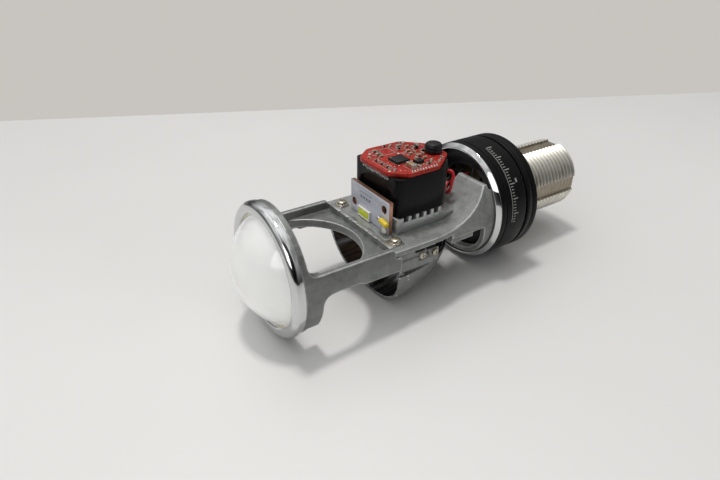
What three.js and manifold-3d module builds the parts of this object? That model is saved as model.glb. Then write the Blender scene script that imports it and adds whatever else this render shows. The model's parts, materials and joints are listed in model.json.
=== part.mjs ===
/*
 * Mini LED projector lens module: a lens on an open die-cast frame, a base casting that carries
 * two LED boards, a finned heat sink and a driver, a half-bowl reflector underneath, and a
 * blackened collar with a fan, a lock ring and a threaded tail behind.
 *
 * Millimetres. X is the optical axis and the lens faces -X, Y is across, Z is up.
 * Every dimension here is taken from the centre of the bezel's front face, on the lens axis. The
 * finished module is then moved, so that its origin is under the middle of its length, level with
 * the lowest point of the bezel.
 */
import * as THREE from 'three';
import { mergeVertices } from 'three/addons/utils/BufferGeometryUtils.js';
import Module from 'manifold-3d';

const wasm = await Module();
wasm.setup();

// ---------------------------------------------------------------- driving dimensions

const FIT = 0.1; // running gap between pieces that are screwed or pushed together

// Lens end, turned about the optical axis
const BEZEL_R = 24;
const BEZEL_LENGTH = 3.5;
const BEZEL_OPENING_R = 19.85;
const BEZEL_BORE_R = 22;
const LENS_SPHERE_R = 22.5;
const LENS_HEIGHT = 9.4; // how far the dome stands in front of the bezel
const LENS_FLANGE_R = 21.2;
const LENS_FLANGE_FRONT = 2.2;
const LENS_BACK = 4;

// Front frame
const FRAME_R = 23.5;
const RING_BACK = 6;
const RING_BORE_R = 20.6;
const LEG_BACK = 10.3;
const LEG_BOTTOM = -14;
const ARM_TOP = 7.3;
const ARM_BOTTOM = -0.2;
const ARM_BACK = 38.4;
const ARM_INNER_Y = 20.3;
const WEB_BOTTOM = 0.7;
const WEB_TOP = 4;
const WEB_BACK = 47;
const ARCH_R = 20.6;
const ARCH_X = 15.6;
const WEB_NARROW_X = 40.7; // the web is as wide as the arms up to here
const WEB_NARROW_Y = 18.7;

// Base casting: plate, ramp and the plug that enters the collar
const PLATE_FRONT = 38.7;
const PLATE_TOP = 6;
const PLATE_HALF_WIDTH = 22.4;
const PLATE_SIDE_BACK = 56; // from here the plate narrows to its neck
const PLATE_NECK_X = 70;
const RAMP_START = 64;
const RAMP_END = 83.1;
const RAMP_TOP = 16.7;
const RAMP_WALL = 2;
const PLUG_R = 20.95;
const PLUG_BORE_R = 18.9;
const PLUG_FRONT = 66.6;
const PLUG_BACK = 89.6;
const PLUG_GROOVE_FRONT = 86.7;
const PLUG_GROOVE_BACK = 89;
const PLUG_GROOVE_DEPTH = 0.6;
const PLATE_NECK_Y = 20.75;
const PLUG_UNDERSIDE = 1.8; // lower edge of the plug's wall, in front of the collar
const LEDGE_FRONT = 66;
const LEDGE_BACK = 76.5;
const LEDGE_HOLE_X = 72.5;
const LEDGE_HOLE_Y = 18.4;
const WIRE_SLOT_FRONT = 75;
const WIRE_SLOT_NEAR_Y = -2.2;
const WIRE_SLOT_FAR_Y = 8.5;
const RAMP_CREST_BACK = 84.8; // the plug is open above, from here to its back
const RAMP_OPENING_BOTTOM = 13;

// Reflector bowl
const BOWL_MOUTH = 39.2;
const BOWL_END = 76.5;
const BOWL_R = 23.3;
const BOWL_WALL = 1.3;
const BOWL_FLATNESS = 0.97; // depth against half width
const BOWL_SQUARENESS = 2.5; // exponent of the bowl's cross section, 2 is an ellipse
const BOWL_EDGE_Z = -4.4;
const BOWL_FLANGE_Y = 22.2; // outside of the side flange that the front screws hold
const BOWL_STEP = 0.5; // how far the flange's upper band is set back
const BOWL_LUG_Y = 19.9; // outside of the lug that the rear screws hold
const BOWL_SCREW_HEAD_R = 1.4;

// Everything behind the plate is turned about an axis that is higher than the lens axis
const REAR_AXIS_Z = 3;
const COLLAR_R = 23.5;
const COLLAR_BORE_R = 21.3;
const COLLAR_FRONT = 87.3;
const COLLAR_BACK = 100.1;
const COLLAR_RIM_FRONT = 85.6;
const COLLAR_SHOULDER = 98.2;
const COLLAR_GROOVE_FRONT = 89.5;
const COLLAR_GROOVE_BACK = 90.1;
const COLLAR_GROOVE_DEPTH = 0.45;
const SET_SCREW_TURNS = [-150, 150]; // degrees about the rear axis from the top
const SET_SCREW_X = 88.3;
const SET_SCREW_R = 0.75;
const LOCK_RING_FRONT = 101.1;
const LOCK_RING_BACK = 106.4;
const LOCK_RING_BORE_R = 14.9;
const TAIL_BACK = 140.6;
const TAIL_R = 14.56;
const TAIL_BORE_R = 12;
const THREAD_PITCH = 2;
const THREAD_DEPTH = 0.55;
const TAIL_SLOTS = 4;
const TAIL_SLOT_WIDTH = 6.4;
const TAIL_SLOT_FLOOR_R = 13.1;
const TAIL_SLOT_FRONT = 98.4;
const TAIL_FLANGE_FRONT = 96.3;
const TAIL_FLANGE_BACK = 98.1;
const TAIL_FLANGE_R = 18;
const THREAD_START = 107;
const KEY_WASHER_THICKNESS = 0.7;

// Fan in the collar, between the plug and the tail's flange
const FAN_FRONT = 90;
const FAN_BACK = 96;
const FAN_BORE_R = 14.4;
const FAN_HUB_R = 6.5;
const FAN_HUB_BORE_R = 5.2;
const FAN_BLADES = 7;
const FAN_BLADE_PITCH = THREE.MathUtils.degToRad(42);
const FAN_STRUTS = 3;
const FAN_SHAFT_R = 0.75;

// Driver block on the plate
const DRIVER_BOTTOM = 11.9;
const DRIVER_TOP = 26.2;
const DRIVER_FRONT = 46.2;
const DRIVER_BACK = 73.2;
const DRIVER_NEAR_Y = -12.6;
const DRIVER_FAR_Y = 14.2;
const DRIVER_WALL = 1.6;
const BOARD_THICKNESS = 1.4;
const CIRCUIT_Z = DRIVER_TOP + FIT;
const CIRCUIT_TOP = CIRCUIT_Z + BOARD_THICKNESS;

// LED board that stands at the front edge of the plate
const LED_BOARD_AT = [43.6, 0.7, 6.15];
const LED_BOARD_YAW = THREE.MathUtils.degToRad(-1.5);
const LED_BOARD_WIDTH = 24.6;
const LED_BOARD_HEIGHT = 12.1;
const LED_BOARD_THICKNESS = 1.5;
const LED_WIDTH = 7.6;
const LED_HEIGHT = 3.8;
const LED_WALL = 0.55;
const LOWER_BOARD_X = 57;

// Fasteners
const PLATE_SCREW_X = 42.3;
const PLATE_SCREW_Y = 17.05;
const SCREW_HEAD_R = 1.95;
const SCREW_HEAD_HEIGHT = 1.25;
const SCREW_SHANK_R = 1;
const SHIM_THICKNESS = 0.3;
const WASHER_THICKNESS = 0.4;
const WIRE_R = 0.62;

// Finishes
const FINISH = {
  chrome: { color: 0xd9dbdd, roughness: 0.07, metalness: 1 },
  glass: { color: 0xe9e9e4, roughness: 0.05, metalness: 0 },
  silicone: { color: 0xe6dfc4, roughness: 0.5, metalness: 0 },
  casting: { color: 0x7f8381, roughness: 0.5, metalness: 0.85 },
  aluminium: { color: 0xb9bcbc, roughness: 0.42, metalness: 0.9 },
  nickel: { color: 0xb7ab90, roughness: 0.25, metalness: 1 },
  steel: { color: 0x8b8d8e, roughness: 0.35, metalness: 1 },
  tail: { color: 0xa9a59c, roughness: 0.36, metalness: 0.95 },
  anodised: { color: 0x17181a, roughness: 0.42, metalness: 0.6 },
  moulded: { color: 0x1b1c1e, roughness: 0.36, metalness: 0 },
  chip: { color: 0x17181a, roughness: 0.45, metalness: 0 },
  redMask: { color: 0xc9382f, roughness: 0.38, metalness: 0 },
  whiteMask: { color: 0xc3c7d0, roughness: 0.35, metalness: 0 },
  ceramic: { color: 0xe9e8e0, roughness: 0.5, metalness: 0 },
  phosphor: { color: 0xc6cf2b, roughness: 0.45, metalness: 0 },
  yellowCase: { color: 0xe2cb1d, roughness: 0.3, metalness: 0 },
  tanCeramic: { color: 0xa98b62, roughness: 0.45, metalness: 0 },
  glue: { color: 0x9a978c, roughness: 0.18, metalness: 0 },
  redWire: { color: 0xd3262b, roughness: 0.38, metalness: 0 },
  blackWire: { color: 0x141414, roughness: 0.4, metalness: 0 },
  bronze: { color: 0x9a7440, roughness: 0.4, metalness: 0.9 },
};

// ---------------------------------------------------------------- solids

const TURN_SEGMENTS = 48;
const SMALL_TURN_SEGMENTS = 12;

/** A closed geometry becomes a solid: shared vertices merged, faces pointing out. */
function solidFrom(geometry) {
  geometry.deleteAttribute('normal');
  geometry.deleteAttribute('uv');
  const merged = mergeVertices(geometry, 1e-4);
  const points = merged.getAttribute('position').array;
  const corner = (i) => new THREE.Vector3().fromArray(points, 3 * i);
  const triangles = [];
  let volume = 0;
  for (let i = 0; i < merged.index.count; i += 3) {
    const [a, b, c] = merged.index.array.slice(i, i + 3);
    if (a === b || b === c || c === a) continue;
    triangles.push([a, b, c]);
    volume += corner(a).dot(corner(b).cross(corner(c)));
  }
  const outward = volume > 0 ? triangles : triangles.map(([a, b, c]) => [a, c, b]);
  return new wasm.Manifold(new wasm.Mesh({
    numProp: 3,
    vertProperties: Float32Array.from(points),
    triVerts: Uint32Array.from(outward.flat()),
  }));
}

function geometryOf(solid) {
  const { vertProperties, triVerts } = solid.getMesh();
  const geometry = new THREE.BufferGeometry();
  geometry.setAttribute('position', new THREE.BufferAttribute(vertProperties, 3));
  geometry.setIndex(new THREE.BufferAttribute(triVerts, 1));
  geometry.computeVertexNormals();
  return geometry;
}

const joined = (first, ...others) => others.reduce((sum, solid) => sum.add(solid), first);
const cut = (body, ...tools) => tools.reduce((rest, tool) => rest.subtract(tool), body);

/** Revolves a closed profile of [x, radius] points about the X axis. */
function turned(profile, segments = TURN_SEGMENTS) {
  const outline = profile.map(([x, r]) => new THREE.Vector2(r, x));
  const lathe = new THREE.LatheGeometry([...outline, outline[0]], segments);
  return solidFrom(lathe.rotateZ(-Math.PI / 2));
}

const rod = (x0, x1, r, segments) => turned([[x0, 0], [x0, r], [x1, r], [x1, 0]], segments);
const tube = (x0, x1, inner, outer, segments) => (
  turned([[x0, inner], [x0, outer], [x1, outer], [x1, inner]], segments)
);

/** Both y limits of a stretch that lies between two distances from the centre, on one side. */
const acrossFrom = (side, inner, outer) => (side > 0 ? [inner, outer] : [-outer, -inner]);

/** Axes that lay an outline's own x, y and depth along two world axes and their normal. */
const PLANES = {
  xy: [[1, 0, 0], [0, 1, 0], [0, 0, 1]],
  xz: [[1, 0, 0], [0, 0, 1], [0, -1, 0]],
  yz: [[0, 1, 0], [0, 0, 1], [1, 0, 0]],
};

/** Extrudes an outline that lies in a plane from one level to another across that plane. */
function slab(plane, outline, from, to, curveSegments = 12) {
  const geometry = new THREE.ExtrudeGeometry(outline, {
    depth: to - from, bevelEnabled: false, curveSegments,
  });
  geometry.translate(0, 0, plane === 'xz' ? -to : from);
  const basis = PLANES[plane].map((axis) => new THREE.Vector3(...axis));
  return solidFrom(geometry.applyMatrix4(new THREE.Matrix4().makeBasis(...basis)));
}

function box(x0, x1, y0, y1, z0, z1) {
  const geometry = new THREE.BoxGeometry(x1 - x0, y1 - y0, z1 - z0);
  return solidFrom(geometry.translate((x0 + x1) / 2, (y0 + y1) / 2, (z0 + z1) / 2));
}

/** A vertical rod, for holes and bosses through a horizontal plate. */
const post = (x, y, z0, z1, r) => solidFrom(
  new THREE.CylinderGeometry(r, r, z1 - z0, SMALL_TURN_SEGMENTS)
    .rotateX(Math.PI / 2).translate(x, y, (z0 + z1) / 2),
);

const polygon = (points) => new THREE.Shape(points.map(([x, y]) => new THREE.Vector2(x, y)));

function circle(x, y, r) {
  const outline = new THREE.Shape();
  outline.absarc(x, y, r, 0, 2 * Math.PI);
  return outline;
}

function piece(name, solid, finish, at = [0, 0, 0], turn = [0, 0, 0]) {
  const mesh = new THREE.Mesh(geometryOf(solid), new THREE.MeshStandardMaterial(finish));
  mesh.name = name;
  mesh.position.set(...at);
  mesh.rotation.set(...turn);
  return mesh;
}

function group(at, yaw, ...meshes) {
  const holder = new THREE.Group();
  holder.position.set(...at);
  holder.rotation.z = yaw;
  holder.add(...meshes);
  return holder;
}

// ---------------------------------------------------------------- lens end

function bezelRing() {
  const profile = new THREE.Shape();
  profile.moveTo(0.4, BEZEL_OPENING_R);
  profile.quadraticCurveTo(0, BEZEL_OPENING_R + 0.3, 0, BEZEL_OPENING_R + 0.9);
  profile.lineTo(0, BEZEL_R - 1.9);
  profile.quadraticCurveTo(0, BEZEL_R - 0.2, 1.7, BEZEL_R);
  profile.lineTo(BEZEL_LENGTH, BEZEL_R);
  profile.lineTo(BEZEL_LENGTH, BEZEL_BORE_R);
  profile.lineTo(1.5, BEZEL_BORE_R);
  profile.lineTo(1.5, BEZEL_OPENING_R);
  const points = profile.getPoints(3).map((p) => [p.x, p.y]);
  return piece('bezel_ring', turned(points), FINISH.chrome);
}

/** Plano-convex lens: a dome of one sphere, running into a flange that the bezel clamps. */
function lens() {
  const centreX = LENS_SPHERE_R - LENS_HEIGHT;
  const rimAngle = Math.acos((centreX - LENS_FLANGE_FRONT) / LENS_SPHERE_R);
  const profile = [];
  const steps = 14;
  for (let i = 0; i <= steps; i += 1) {
    const angle = (rimAngle * i) / steps;
    profile.push([centreX - LENS_SPHERE_R * Math.cos(angle), LENS_SPHERE_R * Math.sin(angle)]);
  }
  profile.push([LENS_FLANGE_FRONT, LENS_FLANGE_R], [LENS_BACK, LENS_FLANGE_R], [LENS_BACK, 0]);
  return piece('lens', turned(profile), FINISH.glass);
}

const lensGasket = () => piece(
  'lens_gasket',
  tube(1.5, LENS_FLANGE_FRONT, BEZEL_OPENING_R, BEZEL_BORE_R - FIT),
  FINISH.silicone,
);

/** Side view of a frame arm with its leg, shoulder and stepped underside. */
function armOutline() {
  const outline = new THREE.Shape();
  outline.moveTo(5, LEG_BOTTOM);
  outline.lineTo(LEG_BACK, LEG_BOTTOM);
  outline.lineTo(LEG_BACK, -4);
  outline.quadraticCurveTo(LEG_BACK, ARM_BOTTOM, 15, ARM_BOTTOM);
  outline.lineTo(24, ARM_BOTTOM);
  outline.lineTo(25.6, -1.3);
  outline.lineTo(WEB_NARROW_X, -1.3);
  outline.lineTo(WEB_NARROW_X, WEB_TOP - FIT);
  outline.lineTo(ARM_BACK, WEB_TOP - FIT);
  outline.lineTo(ARM_BACK, ARM_TOP - 1.4);
  outline.quadraticCurveTo(ARM_BACK, ARM_TOP, ARM_BACK - 1.4, ARM_TOP);
  outline.lineTo(9, ARM_TOP);
  outline.quadraticCurveTo(6.4, ARM_TOP + 0.2, RING_BACK, 10.6);
  outline.lineTo(5, 10.6);
  return outline;
}

function frontFrame() {
  const ring = turned([
    [BEZEL_LENGTH, LENS_FLANGE_R + FIT], [BEZEL_LENGTH, FRAME_R], [RING_BACK, FRAME_R],
    [RING_BACK, RING_BORE_R], [LENS_BACK, RING_BORE_R], [LENS_BACK, LENS_FLANGE_R + FIT],
  ]);
  const sides = cut(
    slab('xz', armOutline(), -FRAME_R, FRAME_R, 6).intersect(rod(BEZEL_LENGTH, 42, FRAME_R)),
    rod(0, LEG_BACK + 0.5, RING_BORE_R),
    box(LEG_BACK, 42, -ARM_INNER_Y, ARM_INNER_Y, LEG_BOTTOM, ARM_TOP + 4),
  );
  const webOutline = polygon([
    [9, -ARM_INNER_Y - 1], [WEB_NARROW_X, -ARM_INNER_Y - 1],
    [WEB_NARROW_X, -WEB_NARROW_Y], [WEB_BACK, -WEB_NARROW_Y],
    [WEB_BACK, WEB_NARROW_Y], [WEB_NARROW_X, WEB_NARROW_Y],
    [WEB_NARROW_X, ARM_INNER_Y + 1], [9, ARM_INNER_Y + 1],
  ]);
  const web = cut(
    slab('xy', webOutline, WEB_BOTTOM, WEB_TOP),
    slab('xy', circle(ARCH_X, 0, ARCH_R), WEB_BOTTOM - 1, WEB_TOP + 1, 28),
    ...plateScrewHoles(0, WEB_TOP + 1, SCREW_SHANK_R + FIT),
  );
  return piece('front_frame', joined(ring, sides, web), FINISH.casting);
}

const plateScrewHoles = (z0, z1, r) => [-1, 1].map(
  (side) => post(PLATE_SCREW_X, side * PLATE_SCREW_Y, z0, z1, r),
);

/** Thin shield on the plate's front edge, with stepped notches that shape the beam. */
function cutoffShield() {
  const front = PLATE_FRONT - 0.5;
  const back = PLATE_FRONT + 1.6;
  const ear = PLATE_SCREW_X + 2.6;
  const earInner = PLATE_SCREW_Y - 2.7;
  const earOuter = PLATE_SCREW_Y + 2.7;
  const edge = [[front, -earOuter], [front, -9.5], [front + 0.7, -9.5], [front + 0.7, -6.5],
    [front, -6.5], [front, -2], [front + 0.9, -1.2], [front + 0.9, 2.6], [front, 3.4],
    [front, 7.5], [front + 0.7, 7.5], [front + 0.7, 11], [front, 11], [front, earOuter]];
  const outline = polygon([
    ...edge, [ear, earOuter], [ear, earInner], [back, earInner],
    [back, -earInner], [ear, -earInner], [ear, -earOuter],
  ]);
  const sheet = cut(
    slab('xy', outline, PLATE_TOP, PLATE_TOP + SHIM_THICKNESS),
    ...plateScrewHoles(PLATE_TOP - 1, PLATE_TOP + 1, SCREW_SHANK_R + FIT),
  );
  return piece('cutoff_shield', sheet, FINISH.steel);
}

// ---------------------------------------------------------------- base casting

/** Side view of the ramp that rises from the plate to the collar, offset down by a depth. */
function rampLine(outline, depth) {
  outline.lineTo(RAMP_START, PLATE_TOP - depth);
  outline.quadraticCurveTo(
    (RAMP_START + RAMP_END) / 2,
    PLATE_TOP - depth,
    RAMP_END,
    RAMP_TOP - depth,
  );
  outline.lineTo(PLUG_BACK + 1, RAMP_TOP - depth);
  return outline;
}

/** Side view of the plug's wall: everything below the ramp, less the open window in front. */
function plugSide() {
  const outline = new THREE.Shape();
  outline.moveTo(PLUG_FRONT - 1, PLUG_UNDERSIDE);
  rampLine(outline, 0.2);
  outline.lineTo(PLUG_BACK + 1, -20);
  outline.lineTo(86.6, -20);
  outline.lineTo(81, PLUG_UNDERSIDE);
  return outline;
}

function rampSide() {
  const top = new THREE.Shape();
  top.moveTo(RAMP_START - 3, PLATE_TOP);
  const upper = rampLine(top, 0).getPoints(8);
  const under = new THREE.Shape();
  under.moveTo(RAMP_START - 3, PLATE_TOP - RAMP_WALL);
  const lower = rampLine(under, RAMP_WALL).getPoints(8);
  return new THREE.Shape([...upper, ...lower.reverse()]);
}

function plateOutline() {
  const w = PLATE_HALF_WIDTH;
  const outline = new THREE.Shape();
  outline.moveTo(PLATE_FRONT, w);
  outline.lineTo(PLATE_FRONT, -w);
  outline.lineTo(PLATE_SIDE_BACK, -w);
  outline.bezierCurveTo(
    PLATE_SIDE_BACK + 5, -w, PLATE_NECK_X - 5, -PLATE_NECK_Y, PLATE_NECK_X, -PLATE_NECK_Y,
  );
  outline.lineTo(PLATE_NECK_X, PLATE_NECK_Y);
  outline.bezierCurveTo(
    PLATE_NECK_X - 5, PLATE_NECK_Y, PLATE_SIDE_BACK + 5, w, PLATE_SIDE_BACK, w,
  );
  return outline;
}

function baseCasting() {
  const plug = rod(PLUG_FRONT - 4, PLUG_BACK, PLUG_R).translate([0, 0, REAR_AXIS_Z]);
  const bore = rod(PLUG_FRONT - 5, PLUG_BACK + 1, PLUG_BORE_R).translate([0, 0, REAR_AXIS_Z]);
  const screwGroove = tube(
    PLUG_GROOVE_FRONT, PLUG_GROOVE_BACK, PLUG_R - PLUG_GROOVE_DEPTH, PLUG_R + 1,
  ).translate([0, 0, REAR_AXIS_Z]);
  const wall = cut(slab('xz', plugSide(), -24, 24).intersect(plug), bore);
  const ramp = slab('xz', rampSide(), -24, 24).intersect(plug);
  const plate = slab('xy', plateOutline(), WEB_TOP, PLATE_TOP);
  const ledges = [-1, 1].map((side) => (
    box(LEDGE_FRONT, LEDGE_BACK, ...acrossFrom(side, 17.2, 19.9), -0.6, PLUG_UNDERSIDE + 0.6)
  ));
  const casting = cut(
    joined(plate, wall, ramp, ...ledges),
    screwGroove,
    box(WIRE_SLOT_FRONT, PLUG_BACK + 1, WIRE_SLOT_NEAR_Y, WIRE_SLOT_FAR_Y,
      PLATE_TOP - 3, RAMP_TOP + 1),
    box(RAMP_CREST_BACK, PLUG_BACK + 1, -17, 17, RAMP_OPENING_BOTTOM, RAMP_TOP + 1),
    ...plateScrewHoles(0, PLATE_TOP + 1, SCREW_SHANK_R + FIT),
    ...[-LEDGE_HOLE_Y, LEDGE_HOLE_Y].map((y) => post(LEDGE_HOLE_X, y, -2, 2.1, 0.8)),
  );
  return piece('base_casting', casting, FINISH.casting);
}

// ---------------------------------------------------------------- reflector bowl

/** Draws a point of a round section out towards the corners of a square. */
function squareOff(point) {
  const radius = Math.hypot(point[1], point[2]);
  if (radius === 0) return;
  const across = Math.abs(point[1] / radius) ** BOWL_SQUARENESS;
  const up = Math.abs(point[2] / radius) ** BOWL_SQUARENESS;
  const stretch = (across + up) ** (-1 / BOWL_SQUARENESS);
  point[1] *= stretch;
  point[2] *= stretch;
}

/** Half-bowl about the lens axis, its open mouth towards the lens. */
function bowlShell(inset) {
  const end = BOWL_END - inset;
  const profile = [[BOWL_MOUTH - 4, 0], [BOWL_MOUTH - 4, BOWL_R - inset]];
  const steps = 14;
  for (let i = 0; i < steps; i += 1) {
    const angle = (Math.PI / 2) * (i / steps);
    profile.push([
      BOWL_MOUTH + (end - BOWL_MOUTH) * Math.sin(angle),
      (BOWL_R - inset) * Math.cos(angle),
    ]);
  }
  profile.push([end, 0]);
  return turned(profile).warp(squareOff).scale([1, 1, BOWL_FLATNESS]);
}

function reflectorBowl() {
  const keep = slab('xz', polygon([
    [BOWL_MOUTH + 0.8, BOWL_EDGE_Z], [BOWL_MOUTH + 3.9, -24],
    [BOWL_END + 1, -24], [BOWL_END + 1, BOWL_EDGE_Z],
  ]), -24, 24);
  const shell = cut(bowlShell(0), bowlShell(BOWL_WALL)).intersect(keep);
  const sides = [-1, 1].flatMap((side) => {
    const block = slab('xz', polygon([
      [41, -3.3], [55.3, -3.3], [55.3, -1.6], [52.4, 1.1], [52.4, 2.4], [47.6, 2.4],
      [47.6, 3.5], [41, 3.5],
    ]), ...acrossFrom(side, 19, BOWL_FLANGE_Y));
    const setBack = acrossFrom(side, BOWL_FLANGE_Y - BOWL_STEP, BOWL_R);
    const lug = box(55, 60, ...acrossFrom(side, 17.6, BOWL_LUG_Y), BOWL_EDGE_Z - 0.8, 0.6);
    const bridge = box(43, 53, ...acrossFrom(side, 19.7, 21.1), BOWL_EDGE_Z - 2, -3);
    return [cut(block, box(40, 56, ...setBack, 1.1, 4), box(48.8, 56, ...setBack, -0.8, 4)),
      lug, bridge];
  });
  const bowl = cut(joined(shell, ...sides), ...bowlScrewPlaces().map(([x, side, z]) => (
    rod(-8, 0.4, 0.9, SMALL_TURN_SEGMENTS).rotate([0, 0, side * 90])
      .translate([x, side * BOWL_FLANGE_Y, z])
  )));
  return piece('reflector_bowl', bowl, FINISH.casting);
}

/** Two screws on each side clamp the bowl to the base: [x, side of the centre, z]. */
function bowlScrewPlaces() {
  return [-1, 1].flatMap((side) => [[50.6, side, 0.75], [58, side, -1.1]]);
}

// ---------------------------------------------------------------- fasteners

/** Pan-head cross-recess screw along +X: the head is at negative X, the shank enters at 0. */
function panHeadScrew(headR, headHeight, shankR, length, slotWidth) {
  const head = new THREE.Shape();
  head.moveTo(0, 0);
  head.lineTo(0, headR);
  head.quadraticCurveTo(-headHeight, headR * 0.95, -headHeight, headR * 0.45);
  head.lineTo(-headHeight, 0);
  const recess = [0, 1].map((turn) => (
    box(-headHeight - 1, -headHeight * 0.45, -headR * 0.62, headR * 0.62,
      -slotWidth / 2, slotWidth / 2).rotate([90 * turn, 0, 0])
  ));
  const domed = turned(head.getPoints(2).map((p) => [p.x, p.y]), 16);
  return cut(joined(domed, rod(-0.1, length, shankR, SMALL_TURN_SEGMENTS)), ...recess);
}

const washer = (inner, outer, thickness) => tube(0, thickness, inner, outer, 20);

/** Turns a piece made along +X so that it points down. */
const POINT_DOWN = [0, Math.PI / 2, 0];

function plateFasteners() {
  const washerZ = PLATE_TOP + SHIM_THICKNESS + WASHER_THICKNESS;
  return [['near', -1], ['far', 1]].flatMap(([place, side]) => [
    piece(
      `plate_washer_${place}`,
      washer(SCREW_SHANK_R + FIT, SCREW_HEAD_R + 0.4, WASHER_THICKNESS),
      FINISH.nickel,
      [PLATE_SCREW_X, side * PLATE_SCREW_Y, washerZ],
      POINT_DOWN,
    ),
    piece(
      `plate_screw_${place}`,
      panHeadScrew(SCREW_HEAD_R, SCREW_HEAD_HEIGHT, SCREW_SHANK_R, 7, 0.6),
      FINISH.nickel,
      [PLATE_SCREW_X, side * PLATE_SCREW_Y, washerZ],
      POINT_DOWN,
    ),
  ]);
}

function bowlScrews() {
  const names = ['near_front', 'near_rear', 'far_front', 'far_rear'];
  return bowlScrewPlaces().map(([x, side, z], i) => {
    const face = i % 2 === 0 ? BOWL_FLANGE_Y - BOWL_STEP : BOWL_LUG_Y;
    return piece(
      `bowl_screw_${names[i]}`,
      panHeadScrew(BOWL_SCREW_HEAD_R, 0.9, 0.8, 2.2, 0.5),
      FINISH.steel,
      [x, side * face, z],
      [0, 0, -side * (Math.PI / 2)],
    );
  });
}

// ---------------------------------------------------------------- heat sink and driver

/** Pedestal with cross fins, on the plate under the driver; its tail follows the ramp. */
function heatSink() {
  const front = 45.8;
  const finsBack = 67.4;
  const back = 74;
  const halfWidth = 13;
  const toothPitch = 3.4;
  const toothThickness = 1.3;
  const hull = polygon([
    [front, -halfWidth], [back - 2.2, -halfWidth], [back, -halfWidth + 4],
    [back, halfWidth - 4], [back - 2.2, halfWidth], [front, halfWidth],
  ]);
  const gaps = [];
  for (let x = front + 1.7 + toothThickness; x < finsBack; x += toothPitch) {
    gaps.push(box(x, x + toothPitch - toothThickness, -14, 14, 9.9, 13));
  }
  const underRamp = new THREE.Shape();
  underRamp.moveTo(RAMP_START, 0);
  rampLine(underRamp, -0.3);
  underRamp.lineTo(PLUG_BACK, 0);
  const body = cut(
    slab('xy', hull, PLATE_TOP, DRIVER_BOTTOM - FIT),
    box(finsBack, back + 1, -14, 14, 8.9, 13),
    slab('xz', underRamp, -14, 14),
    ...gaps,
  );
  return piece('heat_sink', body, FINISH.aluminium);
}

/** Plan of the driver case: square corners at the front, deep chamfers at the rear. */
function caseOutline(inset) {
  const x0 = DRIVER_FRONT + inset;
  const x1 = DRIVER_BACK - inset;
  const y0 = DRIVER_NEAR_Y + inset;
  const y1 = DRIVER_FAR_Y - inset;
  const r = 2.4 - inset * 0.6;
  const chamfer = 7;
  const outline = new THREE.Shape();
  outline.moveTo(x0 + r, y0);
  outline.lineTo(x1 - chamfer - 1, y0);
  outline.quadraticCurveTo(x1 - chamfer + 1, y0, x1 - chamfer + 2.2, y0 + 1.2);
  outline.lineTo(x1 - 1, y0 + chamfer - 1.6);
  outline.quadraticCurveTo(x1, y0 + chamfer - 0.6, x1, y0 + chamfer + 1);
  outline.lineTo(x1, y1 - chamfer - 1);
  outline.quadraticCurveTo(x1, y1 - chamfer + 0.6, x1 - 1, y1 - chamfer + 1.6);
  outline.lineTo(x1 - chamfer + 2.2, y1 - 1.2);
  outline.quadraticCurveTo(x1 - chamfer + 1, y1, x1 - chamfer - 1, y1);
  outline.lineTo(x0 + r, y1);
  outline.quadraticCurveTo(x0, y1, x0, y1 - r);
  outline.lineTo(x0, y0 + r);
  outline.quadraticCurveTo(x0, y0, x0 + r, y0);
  return outline;
}

function driverHousing() {
  const arch = new THREE.Shape();
  arch.moveTo(-8.5, 15);
  arch.lineTo(10, 15);
  arch.lineTo(10, 20.5);
  arch.quadraticCurveTo(0.75, 27, -8.5, 20.5);
  const shell = cut(
    slab('xy', caseOutline(0), DRIVER_BOTTOM, DRIVER_TOP, 4),
    slab('xy', caseOutline(DRIVER_WALL), DRIVER_BOTTOM + DRIVER_WALL, DRIVER_TOP + 1, 4),
    slab('yz', arch, DRIVER_FRONT - 1, DRIVER_FRONT + 0.7, 6),
  );
  return piece('driver_housing', shell, FINISH.moulded);
}

const driverPotting = () => piece(
  'driver_potting',
  slab('xy', caseOutline(DRIVER_WALL + FIT), DRIVER_BOTTOM + DRIVER_WALL + FIT, 22, 4),
  FINISH.chip,
);

function circuitOutline() {
  return polygon([
    [50.6, -12.4], [64.4, -12.4], [74.2, -4.8], [74.2, 6.4], [66.3, 14.2], [51.4, 14.4],
    [44.9, 9.2], [44.9, -6.9],
  ]);
}

const driverBoard = () => piece(
  'driver_board',
  slab('xy', circuitOutline(), CIRCUIT_Z, CIRCUIT_TOP),
  FINISH.redMask,
);

/** Small parts on the circuit board: [name, x, y, length, width, height, finish]. */
const BOARD_PARTS = [
  ['driver_chip', 54.6, -1.2, 5.6, 5.4, 1, FINISH.chip],
  ['driver_regulator', 59.4, -6.2, 3, 2.6, 1.2, FINISH.chip],
  ['bulk_capacitor', 55, -7.6, 2.2, 3.4, 1.5, FINISH.tanCeramic],
  ['chip_resistor_1', 47.9, 2.6, 1, 1.9, 0.6, FINISH.tanCeramic],
  ['chip_resistor_2', 47.9, -0.8, 1, 1.9, 0.6, FINISH.tanCeramic],
  ['chip_resistor_3', 47.9, -4.2, 1, 1.9, 0.6, FINISH.tanCeramic],
  ['chip_capacitor_1', 52, 10.1, 1.8, 1, 0.8, FINISH.tanCeramic],
  ['chip_capacitor_2', 51.4, 7, 1.8, 1, 0.8, FINISH.tanCeramic],
  ['chip_capacitor_3', 62.4, 9.6, 2, 1.2, 0.9, FINISH.tanCeramic],
  ['chip_capacitor_4', 63.2, -1.6, 2, 1.2, 0.9, FINISH.tanCeramic],
  ['chip_capacitor_5', 62.6, 4, 1.8, 1.1, 0.8, FINISH.tanCeramic],
  ['schottky_diode', 67, 5.2, 2.6, 1.8, 1.1, FINISH.chip],
];

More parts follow.
